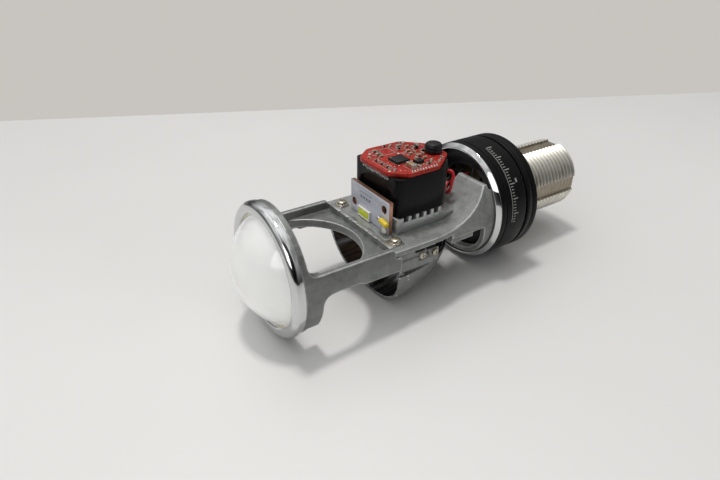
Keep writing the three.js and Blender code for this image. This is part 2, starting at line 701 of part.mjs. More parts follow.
const boardParts = () => BOARD_PARTS.map(([name, x, y, length, width, height, finish]) => (
  piece(name, box(-length / 2, length / 2, -width / 2, width / 2, 0, height), finish,
    [x, y, CIRCUIT_TOP])
));

/** Drum inductor: a squat reel with a rounded cap, standing on the rear of the board. */
function driverInductor() {
  const profile = new THREE.Shape();
  profile.moveTo(0, 0);
  profile.lineTo(0, 2.8);
  profile.lineTo(0.3, 3.2);
  profile.lineTo(1.5, 3.2);
  profile.lineTo(1.65, 2.85);
  profile.lineTo(1.9, 2.85);
  profile.lineTo(2.05, 3.3);
  profile.quadraticCurveTo(3.7, 3.2, 3.8, 1.8);
  profile.lineTo(3.8, 0);
  const reel = turned(profile.getPoints(3).map((p) => [p.x, p.y]), 24);
  return piece('driver_inductor', reel.rotate([0, -90, 0]), FINISH.moulded,
    [70.2, -1.3, CIRCUIT_TOP]);
}

/** A soft bead of adhesive where the circuit board overhangs the case. */
function glueBead() {
  const section = new THREE.Shape();
  section.moveTo(0, 0);
  section.lineTo(0, -1.9);
  section.quadraticCurveTo(-0.9, -1.5, -1, -0.2);
  section.lineTo(-0.9, 0);
  const bead = slab('xz', section, -6, 7.6, 5);
  return piece('glue_bead', bead, FINISH.glue, [DRIVER_FRONT - 0.05, 0, CIRCUIT_Z - 0.05]);
}

/** A round wire bent along a smooth path. */
function wire(name, path, finish) {
  const curve = new THREE.CatmullRomCurve3(path.map((p) => new THREE.Vector3(...p)));
  const geometry = new THREE.ExtrudeGeometry(circle(0, 0, WIRE_R), {
    steps: 30, extrudePath: curve, curveSegments: 4, bevelEnabled: false,
  });
  return piece(name, solidFrom(geometry), finish);
}

const wires = () => [
  wire('red_wire', [
    [73.65, -5.2, 20.6], [74.6, -7, 21.2], [74.9, -8, 19.6], [74.3, -8.3, 16.8],
    [73.9, -8, 14.2], [74, -6.8, 12.6], [75, -4.6, 12], [77, -2.2, 12.4], [79.6, -1, 13.7],
    [85, -0.9, 14.2], [89.4, -0.9, 14.2],
  ], FINISH.redWire),
  wire('black_wire', [
    [73.45, -3.2, 21.4], [75, -4.4, 21], [76.4, -5.4, 19], [76.4, -4.6, 16.6],
    [77.4, -0.6, 14.9], [81, 0.9, 13.6], [85, 0.9, 13.4], [89.4, 0.9, 13.4],
  ], FINISH.blackWire),
];

// ---------------------------------------------------------------- LED boards

/** White LED frame round a phosphor, facing -X, with its lower near corner at the origin. */
function ledPieces(prefix, at) {
  const window = (inset) => [inset, LED_WIDTH - inset, inset, LED_HEIGHT - inset];
  const body = cut(box(-0.85, 0, ...window(0)), box(-1, -0.3, ...window(LED_WALL)));
  const cell = box(-0.75, -0.35, ...window(LED_WALL + 0.05));
  return [
    piece(`${prefix}_led_frame`, body, FINISH.ceramic, at),
    piece(`${prefix}_led_phosphor`, cell, FINISH.phosphor, at),
  ];
}

/** Yellow sleeved thermistor that lies across the board, with a bare end and its solder. */
function thermistor() {
  const body = new THREE.Shape();
  body.moveTo(0, 0);
  body.quadraticCurveTo(0, 1.1, 0.9, 1.1);
  body.lineTo(3.8, 1.1);
  body.quadraticCurveTo(4.6, 1.05, 4.6, 0.45);
  body.lineTo(4.6, 0);
  const sleeve = turned(body.getPoints(4).map((p) => [p.x, p.y]), 20);
  const cap = rod(4.7, 6.1, 0.7, SMALL_TURN_SEGMENTS);
  const across = (solid) => solid.rotate([0, 0, 90]).rotate([10, 0, 0]);
  const solder = new THREE.SphereGeometry(1, 10, 6).scale(0.75, 1.3, 1.35);
  const at = [-1.3, -13.4, 4.2];
  return [
    piece('thermistor', across(sleeve), FINISH.yellowCase, at),
    piece('thermistor_end', across(cap), FINISH.steel, at),
    piece('thermistor_solder', solidFrom(solder), FINISH.ceramic, [-0.85, -10.9, 1.45]),
  ];
}

function ledBoardGroup() {
  const half = LED_BOARD_WIDTH / 2;
  const outline = polygon([[-half, 0], [half, 0], [half, LED_BOARD_HEIGHT],
    [-half, LED_BOARD_HEIGHT]]);
  outline.holes.push(circle(9.9, 3.9, 1.5), circle(-9.2, 8.5, 1.5));
  return group(
    LED_BOARD_AT,
    LED_BOARD_YAW,
    piece('led_board', slab('yz', outline, 0, LED_BOARD_THICKNESS, 10), FINISH.whiteMask),
    ...ledPieces('high_beam', [-FIT, -1.3, 0.15]),
    ...thermistor(),
  );
}

/** Low-beam board under the plate, its LED facing down into the bowl. */
function lowerLedBoard() {
  const board = box(LOWER_BOARD_X - 7, LOWER_BOARD_X + 7, -9, 9, 2.4, WEB_TOP - FIT);
  const holder = group(
    [LOWER_BOARD_X, 0, 2.4 - FIT],
    0,
    ...ledPieces('low_beam', [0, -LED_WIDTH / 2, -LED_HEIGHT / 2]),
  );
  holder.rotation.set(0, -Math.PI / 2, 0);
  return [piece('lower_led_board', board, FINISH.whiteMask), holder];
}

// ---------------------------------------------------------------- collar, fan and tail

/** Stands a rod that was made along X on the rear axis, where a set screw is. */
const radialAt = (solid, turn) => (
  solid.rotate([0, -90, 0]).translate([SET_SCREW_X, 0, 0]).rotate([turn, 0, 0])
);

function collar() {
  const grooveR = COLLAR_R - COLLAR_GROOVE_DEPTH;
  const barrel = turned([
    [COLLAR_FRONT, COLLAR_BORE_R], [COLLAR_FRONT, COLLAR_R - 0.1],
    [COLLAR_GROOVE_FRONT, COLLAR_R], [COLLAR_GROOVE_FRONT + 0.1, grooveR],
    [COLLAR_GROOVE_BACK - 0.1, grooveR], [COLLAR_GROOVE_BACK, COLLAR_R],
    [COLLAR_BACK - 0.3, COLLAR_R], [COLLAR_BACK, COLLAR_R - 0.3], [COLLAR_BACK, TAIL_R + 0.3],
    [COLLAR_SHOULDER, TAIL_R + 0.3], [COLLAR_SHOULDER, COLLAR_BORE_R],
  ]);
  const holes = SET_SCREW_TURNS.map((turn) => radialAt(
    rod(COLLAR_BORE_R - 1, COLLAR_R + 1, SET_SCREW_R + FIT, SMALL_TURN_SEGMENTS),
    turn,
  ));
  return piece('collar', cut(barrel, ...holes), FINISH.anodised);
}

function collarRim() {
  const back = COLLAR_FRONT - FIT;
  const profile = new THREE.Shape();
  profile.moveTo(back, COLLAR_BORE_R);
  profile.lineTo(COLLAR_RIM_FRONT + 0.1, COLLAR_BORE_R);
  profile.quadraticCurveTo(COLLAR_RIM_FRONT - 0.2, COLLAR_BORE_R + 0.5,
    COLLAR_RIM_FRONT + 0.2, COLLAR_BORE_R + 0.9);
  profile.lineTo(back - 0.2, COLLAR_R - 0.2);
  profile.lineTo(back, COLLAR_R - 0.2);
  return piece('collar_rim', turned(profile.getPoints(4).map((p) => [p.x, p.y])), FINISH.chrome);
}

/** Grub screws whose tips run in the plug's groove, so the module can be levelled. */
const setScrews = () => SET_SCREW_TURNS.map((turn, i) => {
  const screw = cut(
    rod(COLLAR_BORE_R - 0.6, COLLAR_R - 0.3, SET_SCREW_R, SMALL_TURN_SEGMENTS),
    rod(COLLAR_R - 1.3, COLLAR_R, SET_SCREW_R - 0.35, 6),
  );
  return piece(`set_screw_${i + 1}`, radialAt(screw, turn), FINISH.steel);
});

/** Tail: a flange inside the collar and a threaded tube with four key slots. */
function tailTube() {
  const profile = [
    [TAIL_FLANGE_FRONT, TAIL_BORE_R], [TAIL_FLANGE_FRONT, TAIL_FLANGE_R],
    [TAIL_FLANGE_BACK, TAIL_FLANGE_R], [TAIL_FLANGE_BACK, TAIL_R],
  ];
  for (let x = THREAD_START; x + THREAD_PITCH < TAIL_BACK; x += THREAD_PITCH) {
    profile.push([x, TAIL_R], [x + THREAD_PITCH * 0.5, TAIL_R - THREAD_DEPTH]);
  }
  profile.push([TAIL_BACK - 0.8, TAIL_R], [TAIL_BACK, TAIL_R - 0.5], [TAIL_BACK, TAIL_BORE_R]);
  const slots = [];
  for (let i = 0; i < TAIL_SLOTS; i += 1) {
    const slot = box(TAIL_SLOT_FRONT, TAIL_BACK + 1, -TAIL_SLOT_WIDTH / 2, TAIL_SLOT_WIDTH / 2,
      TAIL_SLOT_FLOOR_R, TAIL_R + 1);
    slots.push(slot.rotate([(360 / TAIL_SLOTS) * i, 0, 0]));
  }
  return piece('tail_tube', cut(turned(profile, 36), ...slots), FINISH.tail);
}

/** Washer with four keys that slide in the tail's slots, so it moves but can't turn. */
function keyedWasher() {
  const keys = [];
  for (let i = 0; i < TAIL_SLOTS; i += 1) {
    const key = box(0, KEY_WASHER_THICKNESS, -TAIL_SLOT_WIDTH / 2 + 0.4, TAIL_SLOT_WIDTH / 2 - 0.4,
      TAIL_SLOT_FLOOR_R + 0.25, TAIL_R + 1.5);
    keys.push(key.rotate([(360 / TAIL_SLOTS) * i, 0, 0]));
  }
  const disc = tube(0, KEY_WASHER_THICKNESS, LOCK_RING_BORE_R, COLLAR_R - 0.9);
  return piece('keyed_washer', joined(disc, ...keys), FINISH.steel, [COLLAR_BACK + 0.15, 0, 0]);
}

function lockRing() {
  const ring = turned([
    [LOCK_RING_FRONT, LOCK_RING_BORE_R], [LOCK_RING_FRONT, COLLAR_R - 0.4],
    [LOCK_RING_FRONT + 0.4, COLLAR_R], [LOCK_RING_BACK - 0.5, COLLAR_R],
    [LOCK_RING_BACK, COLLAR_R - 0.5], [LOCK_RING_BACK, LOCK_RING_BORE_R],
  ]);
  return piece('lock_ring', ring, FINISH.anodised);
}

function fanFrame() {
  const shroud = tube(FAN_FRONT, FAN_BACK, FAN_BORE_R, COLLAR_BORE_R - 0.4);
  const boss = tube(FAN_FRONT + 2.2, FAN_BACK, 1.8, 4.3, 24);
  const struts = [];
  for (let i = 0; i < FAN_STRUTS; i += 1) {
    const strut = box(FAN_BACK - 0.9, FAN_BACK, -0.8, 0.8, 4, FAN_BORE_R + 0.6);
    struts.push(strut.rotate([(360 / FAN_STRUTS) * i + 20, 0, 0]));
  }
  return piece('fan_frame', joined(shroud, boss, ...struts), FINISH.moulded);
}

function fanRotor() {
  const hub = turned([
    [FAN_FRONT + 0.3, FAN_SHAFT_R + 0.05], [FAN_FRONT + 0.3, FAN_HUB_R - 0.6],
    [FAN_FRONT + 0.9, FAN_HUB_R], [FAN_BACK - 1.3, FAN_HUB_R],
    [FAN_BACK - 1.3, FAN_HUB_BORE_R], [FAN_FRONT + 1.4, FAN_HUB_BORE_R],
    [FAN_FRONT + 1.4, FAN_SHAFT_R + 0.05],
  ], 28);
  const blades = [];
  for (let i = 0; i < FAN_BLADES; i += 1) {
    const blade = new THREE.BoxGeometry(4.6, 0.7, FAN_BORE_R - FAN_HUB_R - 0.1);
    blade.rotateZ(FAN_BLADE_PITCH);
    blade.translate((FAN_FRONT + FAN_BACK) / 2 - 0.5, 0, (FAN_BORE_R + FAN_HUB_R) / 2 - 0.45);
    blades.push(solidFrom(blade).rotate([(360 / FAN_BLADES) * i, 0, 0]));
  }
  return piece('fan_rotor', joined(hub, ...blades), FINISH.moulded);
}

const fanSmallParts = () => [
  piece('fan_shaft', rod(FAN_FRONT + 0.5, FAN_BACK - 0.3, FAN_SHAFT_R, SMALL_TURN_SEGMENTS),
    FINISH.steel),
  piece('fan_bearing', tube(FAN_FRONT + 2.4, FAN_BACK - 0.2, FAN_SHAFT_R + 0.08, 1.7,
    SMALL_TURN_SEGMENTS), FINISH.bronze),
];

/** Recessed power connector fixed to the bottom of the tail's bore. */
function powerSocket() {
  const body = cut(
    box(128, 138, -4.5, 4.5, -13, -5.4).intersect(rod(126, 139, TAIL_BORE_R - FIT)),
    box(131, 139, -3.4, -1.2, -9.4, -6.4),
    box(131, 139, 1.2, 3.4, -9.4, -6.4),
  );
  return piece('power_socket', body, FINISH.moulded);
}

// ---------------------------------------------------------------- assembly

const module = new THREE.Group();
module.position.set(-(TAIL_BACK - LENS_HEIGHT) / 2, 0, BEZEL_R);
module.add(
  bezelRing(), lens(), lensGasket(), frontFrame(), cutoffShield(), baseCasting(),
  reflectorBowl(), ...plateFasteners(), ...bowlScrews(),
  heatSink(), driverHousing(), driverPotting(), driverBoard(), ...boardParts(),
  driverInductor(), glueBead(), ...wires(), ledBoardGroup(), ...lowerLedBoard(),
  group(
    [0, 0, REAR_AXIS_Z],
    0,
    collar(), collarRim(), ...setScrews(), tailTube(), keyedWasher(), lockRing(),
    fanFrame(), fanRotor(), ...fanSmallParts(), powerSocket(),
  ),
);

export default module;
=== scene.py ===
"""Looks for the mini projector lens module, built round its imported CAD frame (Blender 4.5)."""

import json
import math
import random

import bmesh
import bpy
from mathutils import Matrix, Vector


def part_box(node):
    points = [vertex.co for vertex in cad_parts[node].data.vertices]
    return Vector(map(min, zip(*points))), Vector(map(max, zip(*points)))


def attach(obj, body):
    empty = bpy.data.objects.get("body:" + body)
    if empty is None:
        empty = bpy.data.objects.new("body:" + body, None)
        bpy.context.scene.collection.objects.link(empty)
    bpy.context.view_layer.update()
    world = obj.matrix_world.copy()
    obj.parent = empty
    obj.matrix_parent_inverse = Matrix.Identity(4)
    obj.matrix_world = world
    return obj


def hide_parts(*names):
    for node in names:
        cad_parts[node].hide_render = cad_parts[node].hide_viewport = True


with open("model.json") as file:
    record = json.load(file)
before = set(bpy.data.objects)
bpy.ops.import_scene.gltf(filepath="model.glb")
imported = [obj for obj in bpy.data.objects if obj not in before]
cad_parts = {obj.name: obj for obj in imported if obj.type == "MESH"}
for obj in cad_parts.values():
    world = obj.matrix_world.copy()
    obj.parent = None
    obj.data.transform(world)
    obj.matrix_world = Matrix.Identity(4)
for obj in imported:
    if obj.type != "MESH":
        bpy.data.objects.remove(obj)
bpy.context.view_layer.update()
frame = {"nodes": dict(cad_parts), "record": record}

# Shapes are drawn in millimetres from the centre of the bezel's front face, on the lens axis.
MM = 0.001
BEZEL_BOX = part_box("bezel_ring")
LENS_CENTRE = Vector((BEZEL_BOX[0].x, 0, (BEZEL_BOX[0].z + BEZEL_BOX[1].z) / 2))
REAR_AXIS_Z = 3.0  # collar, fan and tail are turned about this axis
SLOTS = {part["node"]: part["material_slot"] for part in frame["record"]["subparts"]}
BODY_OF = {
    node: body
    for body, nodes in frame["record"]["behaviour"]["bodies"].items()
    for node in nodes
}


# ---- shader nodes


METAL_EDGE = 0.3 * MM  # width of the lighter line on a metal edge: partly rubbed wear, partly a painted highlight
PLASTIC_EDGE = 0.25 * MM
CREST_FULL = 0.56  # pointiness at which an edge counts as sharp


class Shader:
    """The node tree of a material, or of the world, with one short call per node."""

    def __init__(self, name, world=None):
        self.material = world or bpy.data.materials.new(name)
        self.material.use_nodes = True
        self.tree = self.material.node_tree
        self.tree.nodes.clear()
        self.output = self.add("OutputWorld" if world else "OutputMaterial")

    def add(self, kind, inputs=None, **settings):
        node = self.tree.nodes.new("ShaderNode" + kind)
        for key, value in settings.items():
            setattr(node, key, value)
        for key, value in (inputs or {}).items():
            self.feed(node.inputs[key], value)
        return node

    def feed(self, socket, value):
        if isinstance(value, bpy.types.NodeSocket):
            self.tree.links.new(value, socket)
        else:
            socket.default_value = value

    def coordinates(self):
        """Place in metres from the centre of the bezel's front face."""
        here = self.add("TexCoord").outputs["Object"]
        offset = self.add("VectorMath", operation="SUBTRACT")
        self.feed(offset.inputs[0], here)
        self.feed(offset.inputs[1], tuple(LENS_CENTRE))
        return offset.outputs["Vector"]

    def scaled(self, factors):
        node = self.add("Mapping", {"Vector": self.coordinates(), "Scale": factors})
        return node.outputs["Vector"]

    def noise(self, scale, detail=4.0, roughness=0.55, vector=None, distortion=0.0):
        inputs = {"Vector": vector or self.coordinates(), "Scale": scale, "Detail": detail}
        inputs |= {"Roughness": roughness, "Distortion": distortion}
        return self.add("TexNoise", inputs).outputs[0]

    def ramp(self, factor, *stops):
        node = self.add("ValToRGB", {"Fac": factor})
        elements = node.color_ramp.elements
        while len(elements) < len(stops):
            elements.new(0.5)
        for element, (place, value) in zip(elements, stops):
            element.position = place
            rgb = (value,) * 3 if isinstance(value, (int, float)) else value
            element.color = (*rgb, 1)
        return node.outputs["Color"]

    def math(self, operation, a, b=0.0):
        node = self.add("Math", operation=operation)
        self.feed(node.inputs[0], a)
        self.feed(node.inputs[1], b)
        return node.outputs[0]

    def mix(self, factor, a, b, blend="MIX"):
        node = self.add("Mix", data_type="RGBA", blend_type=blend)
        self.feed(node.inputs["Factor"], factor)
        for index, value in ((6, a), (7, b)):
            is_color = isinstance(value, tuple)
            self.feed(node.inputs[index], (*value, 1) if is_color else value)
        return node.outputs[2]

    def bump(self, height, distance, strength=1.0, normal=None):
        inputs = {"Height": height, "Distance": distance, "Strength": strength}
        if normal is not None:
            inputs["Normal"] = normal
        return self.add("Bump", inputs).outputs["Normal"]

    def along(self, vector, direction):
        """How far a unit vector points in a direction, from -1 to 1."""
        node = self.add("VectorMath", operation="DOT_PRODUCT")
        self.feed(node.inputs[0], vector)
        self.feed(node.inputs[1], tuple(Vector(direction).normalized()))
        return node.outputs["Value"]

    def crests(self, start=0.505):
        """Near 1 on the outside edges of a dense mesh, 0 on flats and in corners."""
        pointiness = self.add("NewGeometry").outputs["Pointiness"]
        return self.ramp(pointiness, (start, 0.0), (CREST_FULL, 1.0))

    def edges(self, radius):
        """Near 1 on outside and inside edges, 0 on flats."""
        rounded_normal = self.add("Bevel", {"Radius": radius}, samples=4).outputs[0]
        flat_normal = self.add("NewGeometry").outputs["Normal"]
        dot = self.add("VectorMath", operation="DOT_PRODUCT")
        self.feed(dot.inputs[0], rounded_normal)
        self.feed(dot.inputs[1], flat_normal)
        off = self.math("SUBTRACT", 1.0, dot.outputs["Value"])
        return self.math("MINIMUM", self.math("MULTIPLY", off, 6.0), 1.0)

    def surface(self, **inputs):
        named = {key.replace("_", " ").title(): value for key, value in inputs.items()}
        named = {key.replace("Ior", "IOR"): value for key, value in named.items()}
        for key in ("Base Color", "Emission Color"):
            if isinstance(named.get(key), tuple):
                named[key] = (*named[key], 1)
        principled = self.add("BsdfPrincipled", named)
        self.feed(self.output.inputs["Surface"], principled.outputs[0])
        return self.material


def cast_metal(name, dark, light, gloss=0.5):
    """Matte die casting: mottled grey skin, fine grain, and lighter edges, partly rubbed wear and
    partly a painted highlight.
    """
    s = Shader(name)
    clouds = s.noise(160, 5, 0.6, distortion=0.6)
    grain = s.noise(2600, 3, 0.6)
    stain = s.noise(520, 6, 0.7)
    tone = s.ramp(clouds, (0.3, dark), (0.7, light))
    tone = s.mix(s.ramp(stain, (0.42, 0.0), (0.62, 0.35)), tone, tuple(1.25 * c for c in light))
    tone = s.mix(s.ramp(grain, (0.35, 0.22), (0.6, 0.0)), tone, tuple(0.55 * c for c in dark))
    # Painted highlight: crests are lightened, partly as rubbed wear and partly to stand for light
    # catching the edges.
    wear_and_highlight = s.math("MULTIPLY", s.crests(), s.ramp(stain, (0.3, 0.45), (0.6, 1.0)))
    tone = s.mix(wear_and_highlight, tone, (0.74, 0.75, 0.74))
    rough = s.ramp(stain, (0.3, gloss - 0.08), (0.7, gloss + 0.12))
    rough = s.math("SUBTRACT", rough, s.math("MULTIPLY", wear_and_highlight, 0.15))
    normal = s.bump(grain, 0.00003, 0.8, s.bump(stain, 0.00008, 0.6))
    return s.surface(base_color=tone, metallic=0.85, roughness=rough, normal=normal)


def machined_metal(name, color, rough, streak=(1, 1, 1)):
    """Turned, drawn or plated metal: streaks along the cut, uneven sheen, and bright edges, partly
    wear and partly a painted highlight.
    """
    s = Shader(name)
    lines = s.noise(900, 4, 0.6, vector=s.scaled(streak))
    blotch = s.noise(140, 4, 0.6)
    tone = s.mix(s.ramp(lines, (0.35, 0.0), (0.7, 0.25)), color, tuple(0.6 * c for c in color))
    tone = s.mix(s.ramp(blotch, (0.4, 0.0), (0.75, 0.3)), tone, tuple(0.75 * c for c in color))
    # Painted highlight: edges are lightened, partly as wear and partly to stand for light catching
    # them.
    tone = s.mix(s.math("MULTIPLY", s.edges(METAL_EDGE), 0.6), tone, (0.86, 0.85, 0.83))
    roughness = s.math("ADD", rough, s.math("MULTIPLY", blotch, 0.14))
    normal = s.bump(lines, 0.00002, 0.5)
    return s.surface(base_color=tone, metallic=1.0, roughness=roughness, normal=normal)


def chrome():
    """Polished plate with faint smears and hairline scratches."""
    s = Shader("chrome_plate")
    smear = s.noise(90, 5, 0.65, distortion=1.2)
    hair = s.noise(700, 3, 0.5, vector=s.scaled((1, 14, 14)))
    roughness = s.ramp(smear, (0.35, 0.035), (0.75, 0.13))
    tone = s.mix(s.ramp(smear, (0.45, 0.0), (0.8, 0.25)), (0.64, 0.645, 0.65), (0.5, 0.505, 0.51))
    normal = s.bump(hair, 0.000004, 0.35)
    return s.surface(base_color=tone, metallic=1.0, roughness=roughness, normal=normal)


def lens_glass():
    """Moulded projector lens: clear glass whose moulded skin and haze read milky white, with a faint
    painted glow standing in for room light refracted through it.
    """
    s = Shader("lens_glass")
    haze = s.noise(60, 3, 0.5)
    glass = s.add("BsdfPrincipled", {
        "Base Color": (0.97, 0.98, 0.97, 1), "Roughness": 0.04, "IOR": 1.49,
        "Transmission Weight": 1.0, "Coat Weight": 0.3,
    })
    milk = s.add("BsdfPrincipled", {
        "Base Color": s.ramp(haze, (0.3, (0.8, 0.8, 0.785)), (0.7, (0.84, 0.84, 0.825))),
        "Roughness": 0.12, "IOR": 1.49, "Subsurface Weight": 0.6,
        "Subsurface Radius": (0.01, 0.01, 0.01), "Subsurface Scale": 1.0,
        "Coat Weight": 1.0, "Coat Roughness": 0.03,
        # Painted glow: a faint emission brightens the milky layer in place of light refracted from the
        # room.
        "Emission Color": (1.0, 1.0, 0.985, 1), "Emission Strength": 0.2,
    })
    rim = s.add("LayerWeight", {"Blend": 0.25}).outputs["Facing"]
    share = s.ramp(rim, (0.0, 0.72), (0.75, 0.66), (0.97, 0.25))
    both = s.add("MixShader")
    s.feed(both.inputs[0], share)
    s.feed(both.inputs[1], glass.outputs[0])
    s.feed(both.inputs[2], milk.outputs[0])
    s.feed(s.output.inputs["Surface"], both.outputs[0])
    return s.material


def plastic(name, color, rough, coat=0.0, spread=0.25, gloss=0.5):
    """Moulded plastic or rubber: uneven sheen, fine texture, and paler edges, partly rubbed wear and
    partly a painted highlight.
    """
    s = Shader(name)
    cloud = s.noise(220, 4, 0.6)
    fine = s.noise(3200, 3, 0.6)
    tone = s.mix(s.ramp(cloud, (0.35, 0.0), (0.75, spread)), color, tuple(1.7 * c for c in color))
    # Painted highlight: edges are paler, partly as rubbed wear and partly to stand for light catching
    # them.
    tone = s.mix(s.math("MULTIPLY", s.edges(PLASTIC_EDGE), 0.35), tone, tuple(0.06 + c for c in color))
    roughness = s.math("ADD", rough, s.math("MULTIPLY", cloud, 0.16))
    normal = s.bump(fine, 0.00002, 0.7)
    return s.surface(
        base_color=tone, roughness=roughness, normal=normal, coat_weight=coat,
        specular_ior_level=gloss,
    )


def anodised():
    """Satin black anodising with turning lines, dust, and slightly greyed edges, partly wear and
    partly a painted highlight.
    """
    s = Shader("black_anodised")
    lines = s.noise(1400, 3, 0.5, vector=s.scaled((4, 0.15, 0.15)))
    cloud = s.noise(120, 5, 0.6)
    dust = s.noise(2400, 2, 0.5)
    clean, dusty = (0.003, 0.003, 0.0033), (0.009, 0.009, 0.0095)
    tone = s.mix(s.ramp(cloud, (0.4, 0.0), (0.8, 0.4)), clean, dusty)
    tone = s.mix(s.ramp(dust, (0.7, 0.0), (0.78, 0.25)), tone, (0.12, 0.12, 0.115))
    # Painted highlight: edges are greyed, partly as wear and partly to stand for light catching them.
    tone = s.mix(s.math("MULTIPLY", s.edges(METAL_EDGE), 0.4), tone, (0.08, 0.08, 0.08))
    roughness = s.ramp(cloud, (0.3, 0.3), (0.75, 0.46))
    normal = s.bump(lines, 0.00001, 0.5)
    return s.surface(
        base_color=tone, metallic=0.1, roughness=roughness, normal=normal, specular_ior_level=0.14
    )


THREAD_ROOT, THREAD_TOP = 13.7, 14.5


def tail_metal():
    """Machined aluminium, darker and browner towards the thread roots and bright on the crests."""
    s = Shader("tail_metal")
    place = s.add("SeparateXYZ", {"Vector": s.coordinates()})
    height = s.math("SUBTRACT", place.outputs["Z"], REAR_AXIS_Z * MM)
    squares = [s.math("POWER", s.math("ABSOLUTE", v), 2.0) for v in (place.outputs["Y"], height)]
    radius = s.math("SQRT", s.math("ADD", *squares))
    crest = s.add(
        "MapRange",
        {"Value": radius, "From Min": THREAD_ROOT * MM, "From Max": THREAD_TOP * MM},
    ).outputs[0]
    stain = s.noise(420, 5, 0.65)
    # darker and browner towards the thread roots, paler on the crests
    tone = s.mix(crest, (0.3, 0.25, 0.18), (0.9, 0.88, 0.8))
    tone = s.mix(s.ramp(stain, (0.4, 0.0), (0.7, 0.45)), tone, (0.5, 0.48, 0.44))
    roughness = s.ramp(stain, (0.3, 0.26), (0.75, 0.48))
    normal = s.bump(s.noise(1800, 4, 0.6, vector=s.scaled((3, 0.4, 0.4))), 0.00003, 0.6)
    return s.surface(base_color=tone, metallic=0.92, roughness=roughness, normal=normal)


def mirror_bowl():
    """Casting outside; inside, a dark metallised mirror with soft streaks towards the lens."""
    s = Shader("reflector_skin")
    place = s.add("SeparateXYZ", {"Vector": s.coordinates()})
    normal_parts = s.add("SeparateXYZ", {"Vector": s.add("NewGeometry").outputs["Normal"]})
    radial = s.math(
        "ADD",
        s.math("MULTIPLY", place.outputs["Y"], normal_parts.outputs["Y"]),
        s.math("MULTIPLY", place.outputs["Z"], normal_parts.outputs["Z"]),
    )
    inside = s.math("LESS_THAN", radial, -0.002)
    clouds = s.noise(180, 5, 0.6, distortion=0.5)
    grain = s.noise(2400, 3, 0.6)
    skin = s.ramp(clouds, (0.3, (0.2, 0.205, 0.2)), (0.7, (0.31, 0.315, 0.31)))
    # Painted highlight: the outer skin's crests are lightened, partly as edge wear and partly to stand
    # for the bright rim edge.
    skin = s.mix(s.crests(0.54), skin, (0.7, 0.71, 0.7))
    streak = s.noise(500, 3, 0.5, vector=s.scaled((0.12, 1, 1)))
    mirror = s.ramp(streak, (0.35, (0.16, 0.165, 0.165)), (0.65, (0.42, 0.43, 0.43)))
    tone = s.mix(inside, skin, mirror)
    rough_out = s.ramp(clouds, (0.3, 0.42), (0.7, 0.56))
    rough_in = s.ramp(streak, (0.3, 0.07), (0.7, 0.2))
    roughness = s.mix(inside, rough_out, rough_in)
    bump = s.bump(grain, 0.00003, s.math("SUBTRACT", 0.8, s.math("MULTIPLY", inside, 0.7)))
    return s.surface(base_color=tone, metallic=0.95, roughness=roughness, normal=bump)


def board_core():
    """Metal core LED board: pale glossy mask on both faces, copper-brown cut edges."""
    s = Shader("led_board_mask")
    across = s.add("SeparateXYZ", {"Vector": s.add("NewGeometry").outputs["Normal"]}).outputs["X"]
    face = s.math("GREATER_THAN", s.math("ABSOLUTE", across), 0.8)
    speck = s.noise(900, 4, 0.6)
    mask = s.ramp(speck, (0.3, (0.5, 0.52, 0.6)), (0.7, (0.6, 0.62, 0.68)))
    copper = s.ramp(speck, (0.3, (0.36, 0.18, 0.12)), (0.7, (0.6, 0.35, 0.24)))
    tone = s.mix(face, copper, mask)
    metal = s.math("MULTIPLY", s.math("SUBTRACT", 1.0, face), 0.8)
    roughness = s.math("ADD", 0.26, s.math("MULTIPLY", speck, 0.12))
    normal = s.bump(s.noise(1500, 2, 0.5), 0.00002, 0.4)
    return s.surface(base_color=tone, metallic=metal, roughness=roughness, normal=normal)


def solder_mask():
    """Red mask over copper: darker traces show through, with flux haze near the parts."""
    s = Shader("red_solder_mask")
    cells = s.add(
        "TexVoronoi",
        {"Vector": s.coordinates(), "Scale": 330.0},
        feature="DISTANCE_TO_EDGE",
        distance="CHEBYCHEV",
    ).outputs["Distance"]
    trace = s.ramp(cells, (0.06, 1.0), (0.1, 0.0))
    flux = s.noise(300, 5, 0.65)
    tone = s.mix(s.math("MULTIPLY", trace, 0.45), (0.4, 0.019, 0.01), (0.17, 0.006, 0.004))
    tone = s.mix(s.ramp(flux, (0.5, 0.0), (0.8, 0.4)), tone, (0.5, 0.075, 0.045))
    roughness = s.ramp(flux, (0.3, 0.24), (0.7, 0.42))
    normal = s.bump(trace, 0.00003, 0.6, s.bump(flux, 0.00004, 0.4))
    return s.surface(
        base_color=tone, roughness=roughness, normal=normal, coat_weight=0.02, specular_ior_level=0.2
    )


def phosphor():
    """The yellow-green layer over an LED, with a faint painted glow although the LED is unlit."""
    s = Shader("phosphor_layer")
    grain = s.noise(2600, 3, 0.6)
    tone = s.ramp(grain, (0.35, (0.5, 0.58, 0.02)), (0.65, (0.66, 0.72, 0.05)))
    return s.surface(
        base_color=tone, roughness=0.42, subsurface_weight=0.2,
        subsurface_radius=(0.001, 0.001, 0.0004), subsurface_scale=1.0,
        # Painted glow: a faint yellow-green emission on an unlit LED.
        emission_color=(0.6, 0.7, 0.03), emission_strength=0.08,
        normal=s.bump(grain, 0.00003, 0.6),
    )


def clear_glue():
    """Cloudy adhesive that lets some light through."""
    s = Shader("clear_glue")
    cloud = s.noise(700, 4, 0.6)
    tone = s.ramp(cloud, (0.3, (0.28, 0.27, 0.24)), (0.7, (0.5, 0.49, 0.45)))
    return s.surface(
        base_color=tone, roughness=0.14, transmission_weight=0.45, ior=1.45, coat_weight=0.6,
        normal=s.bump(cloud, 0.00008, 0.6),
    )


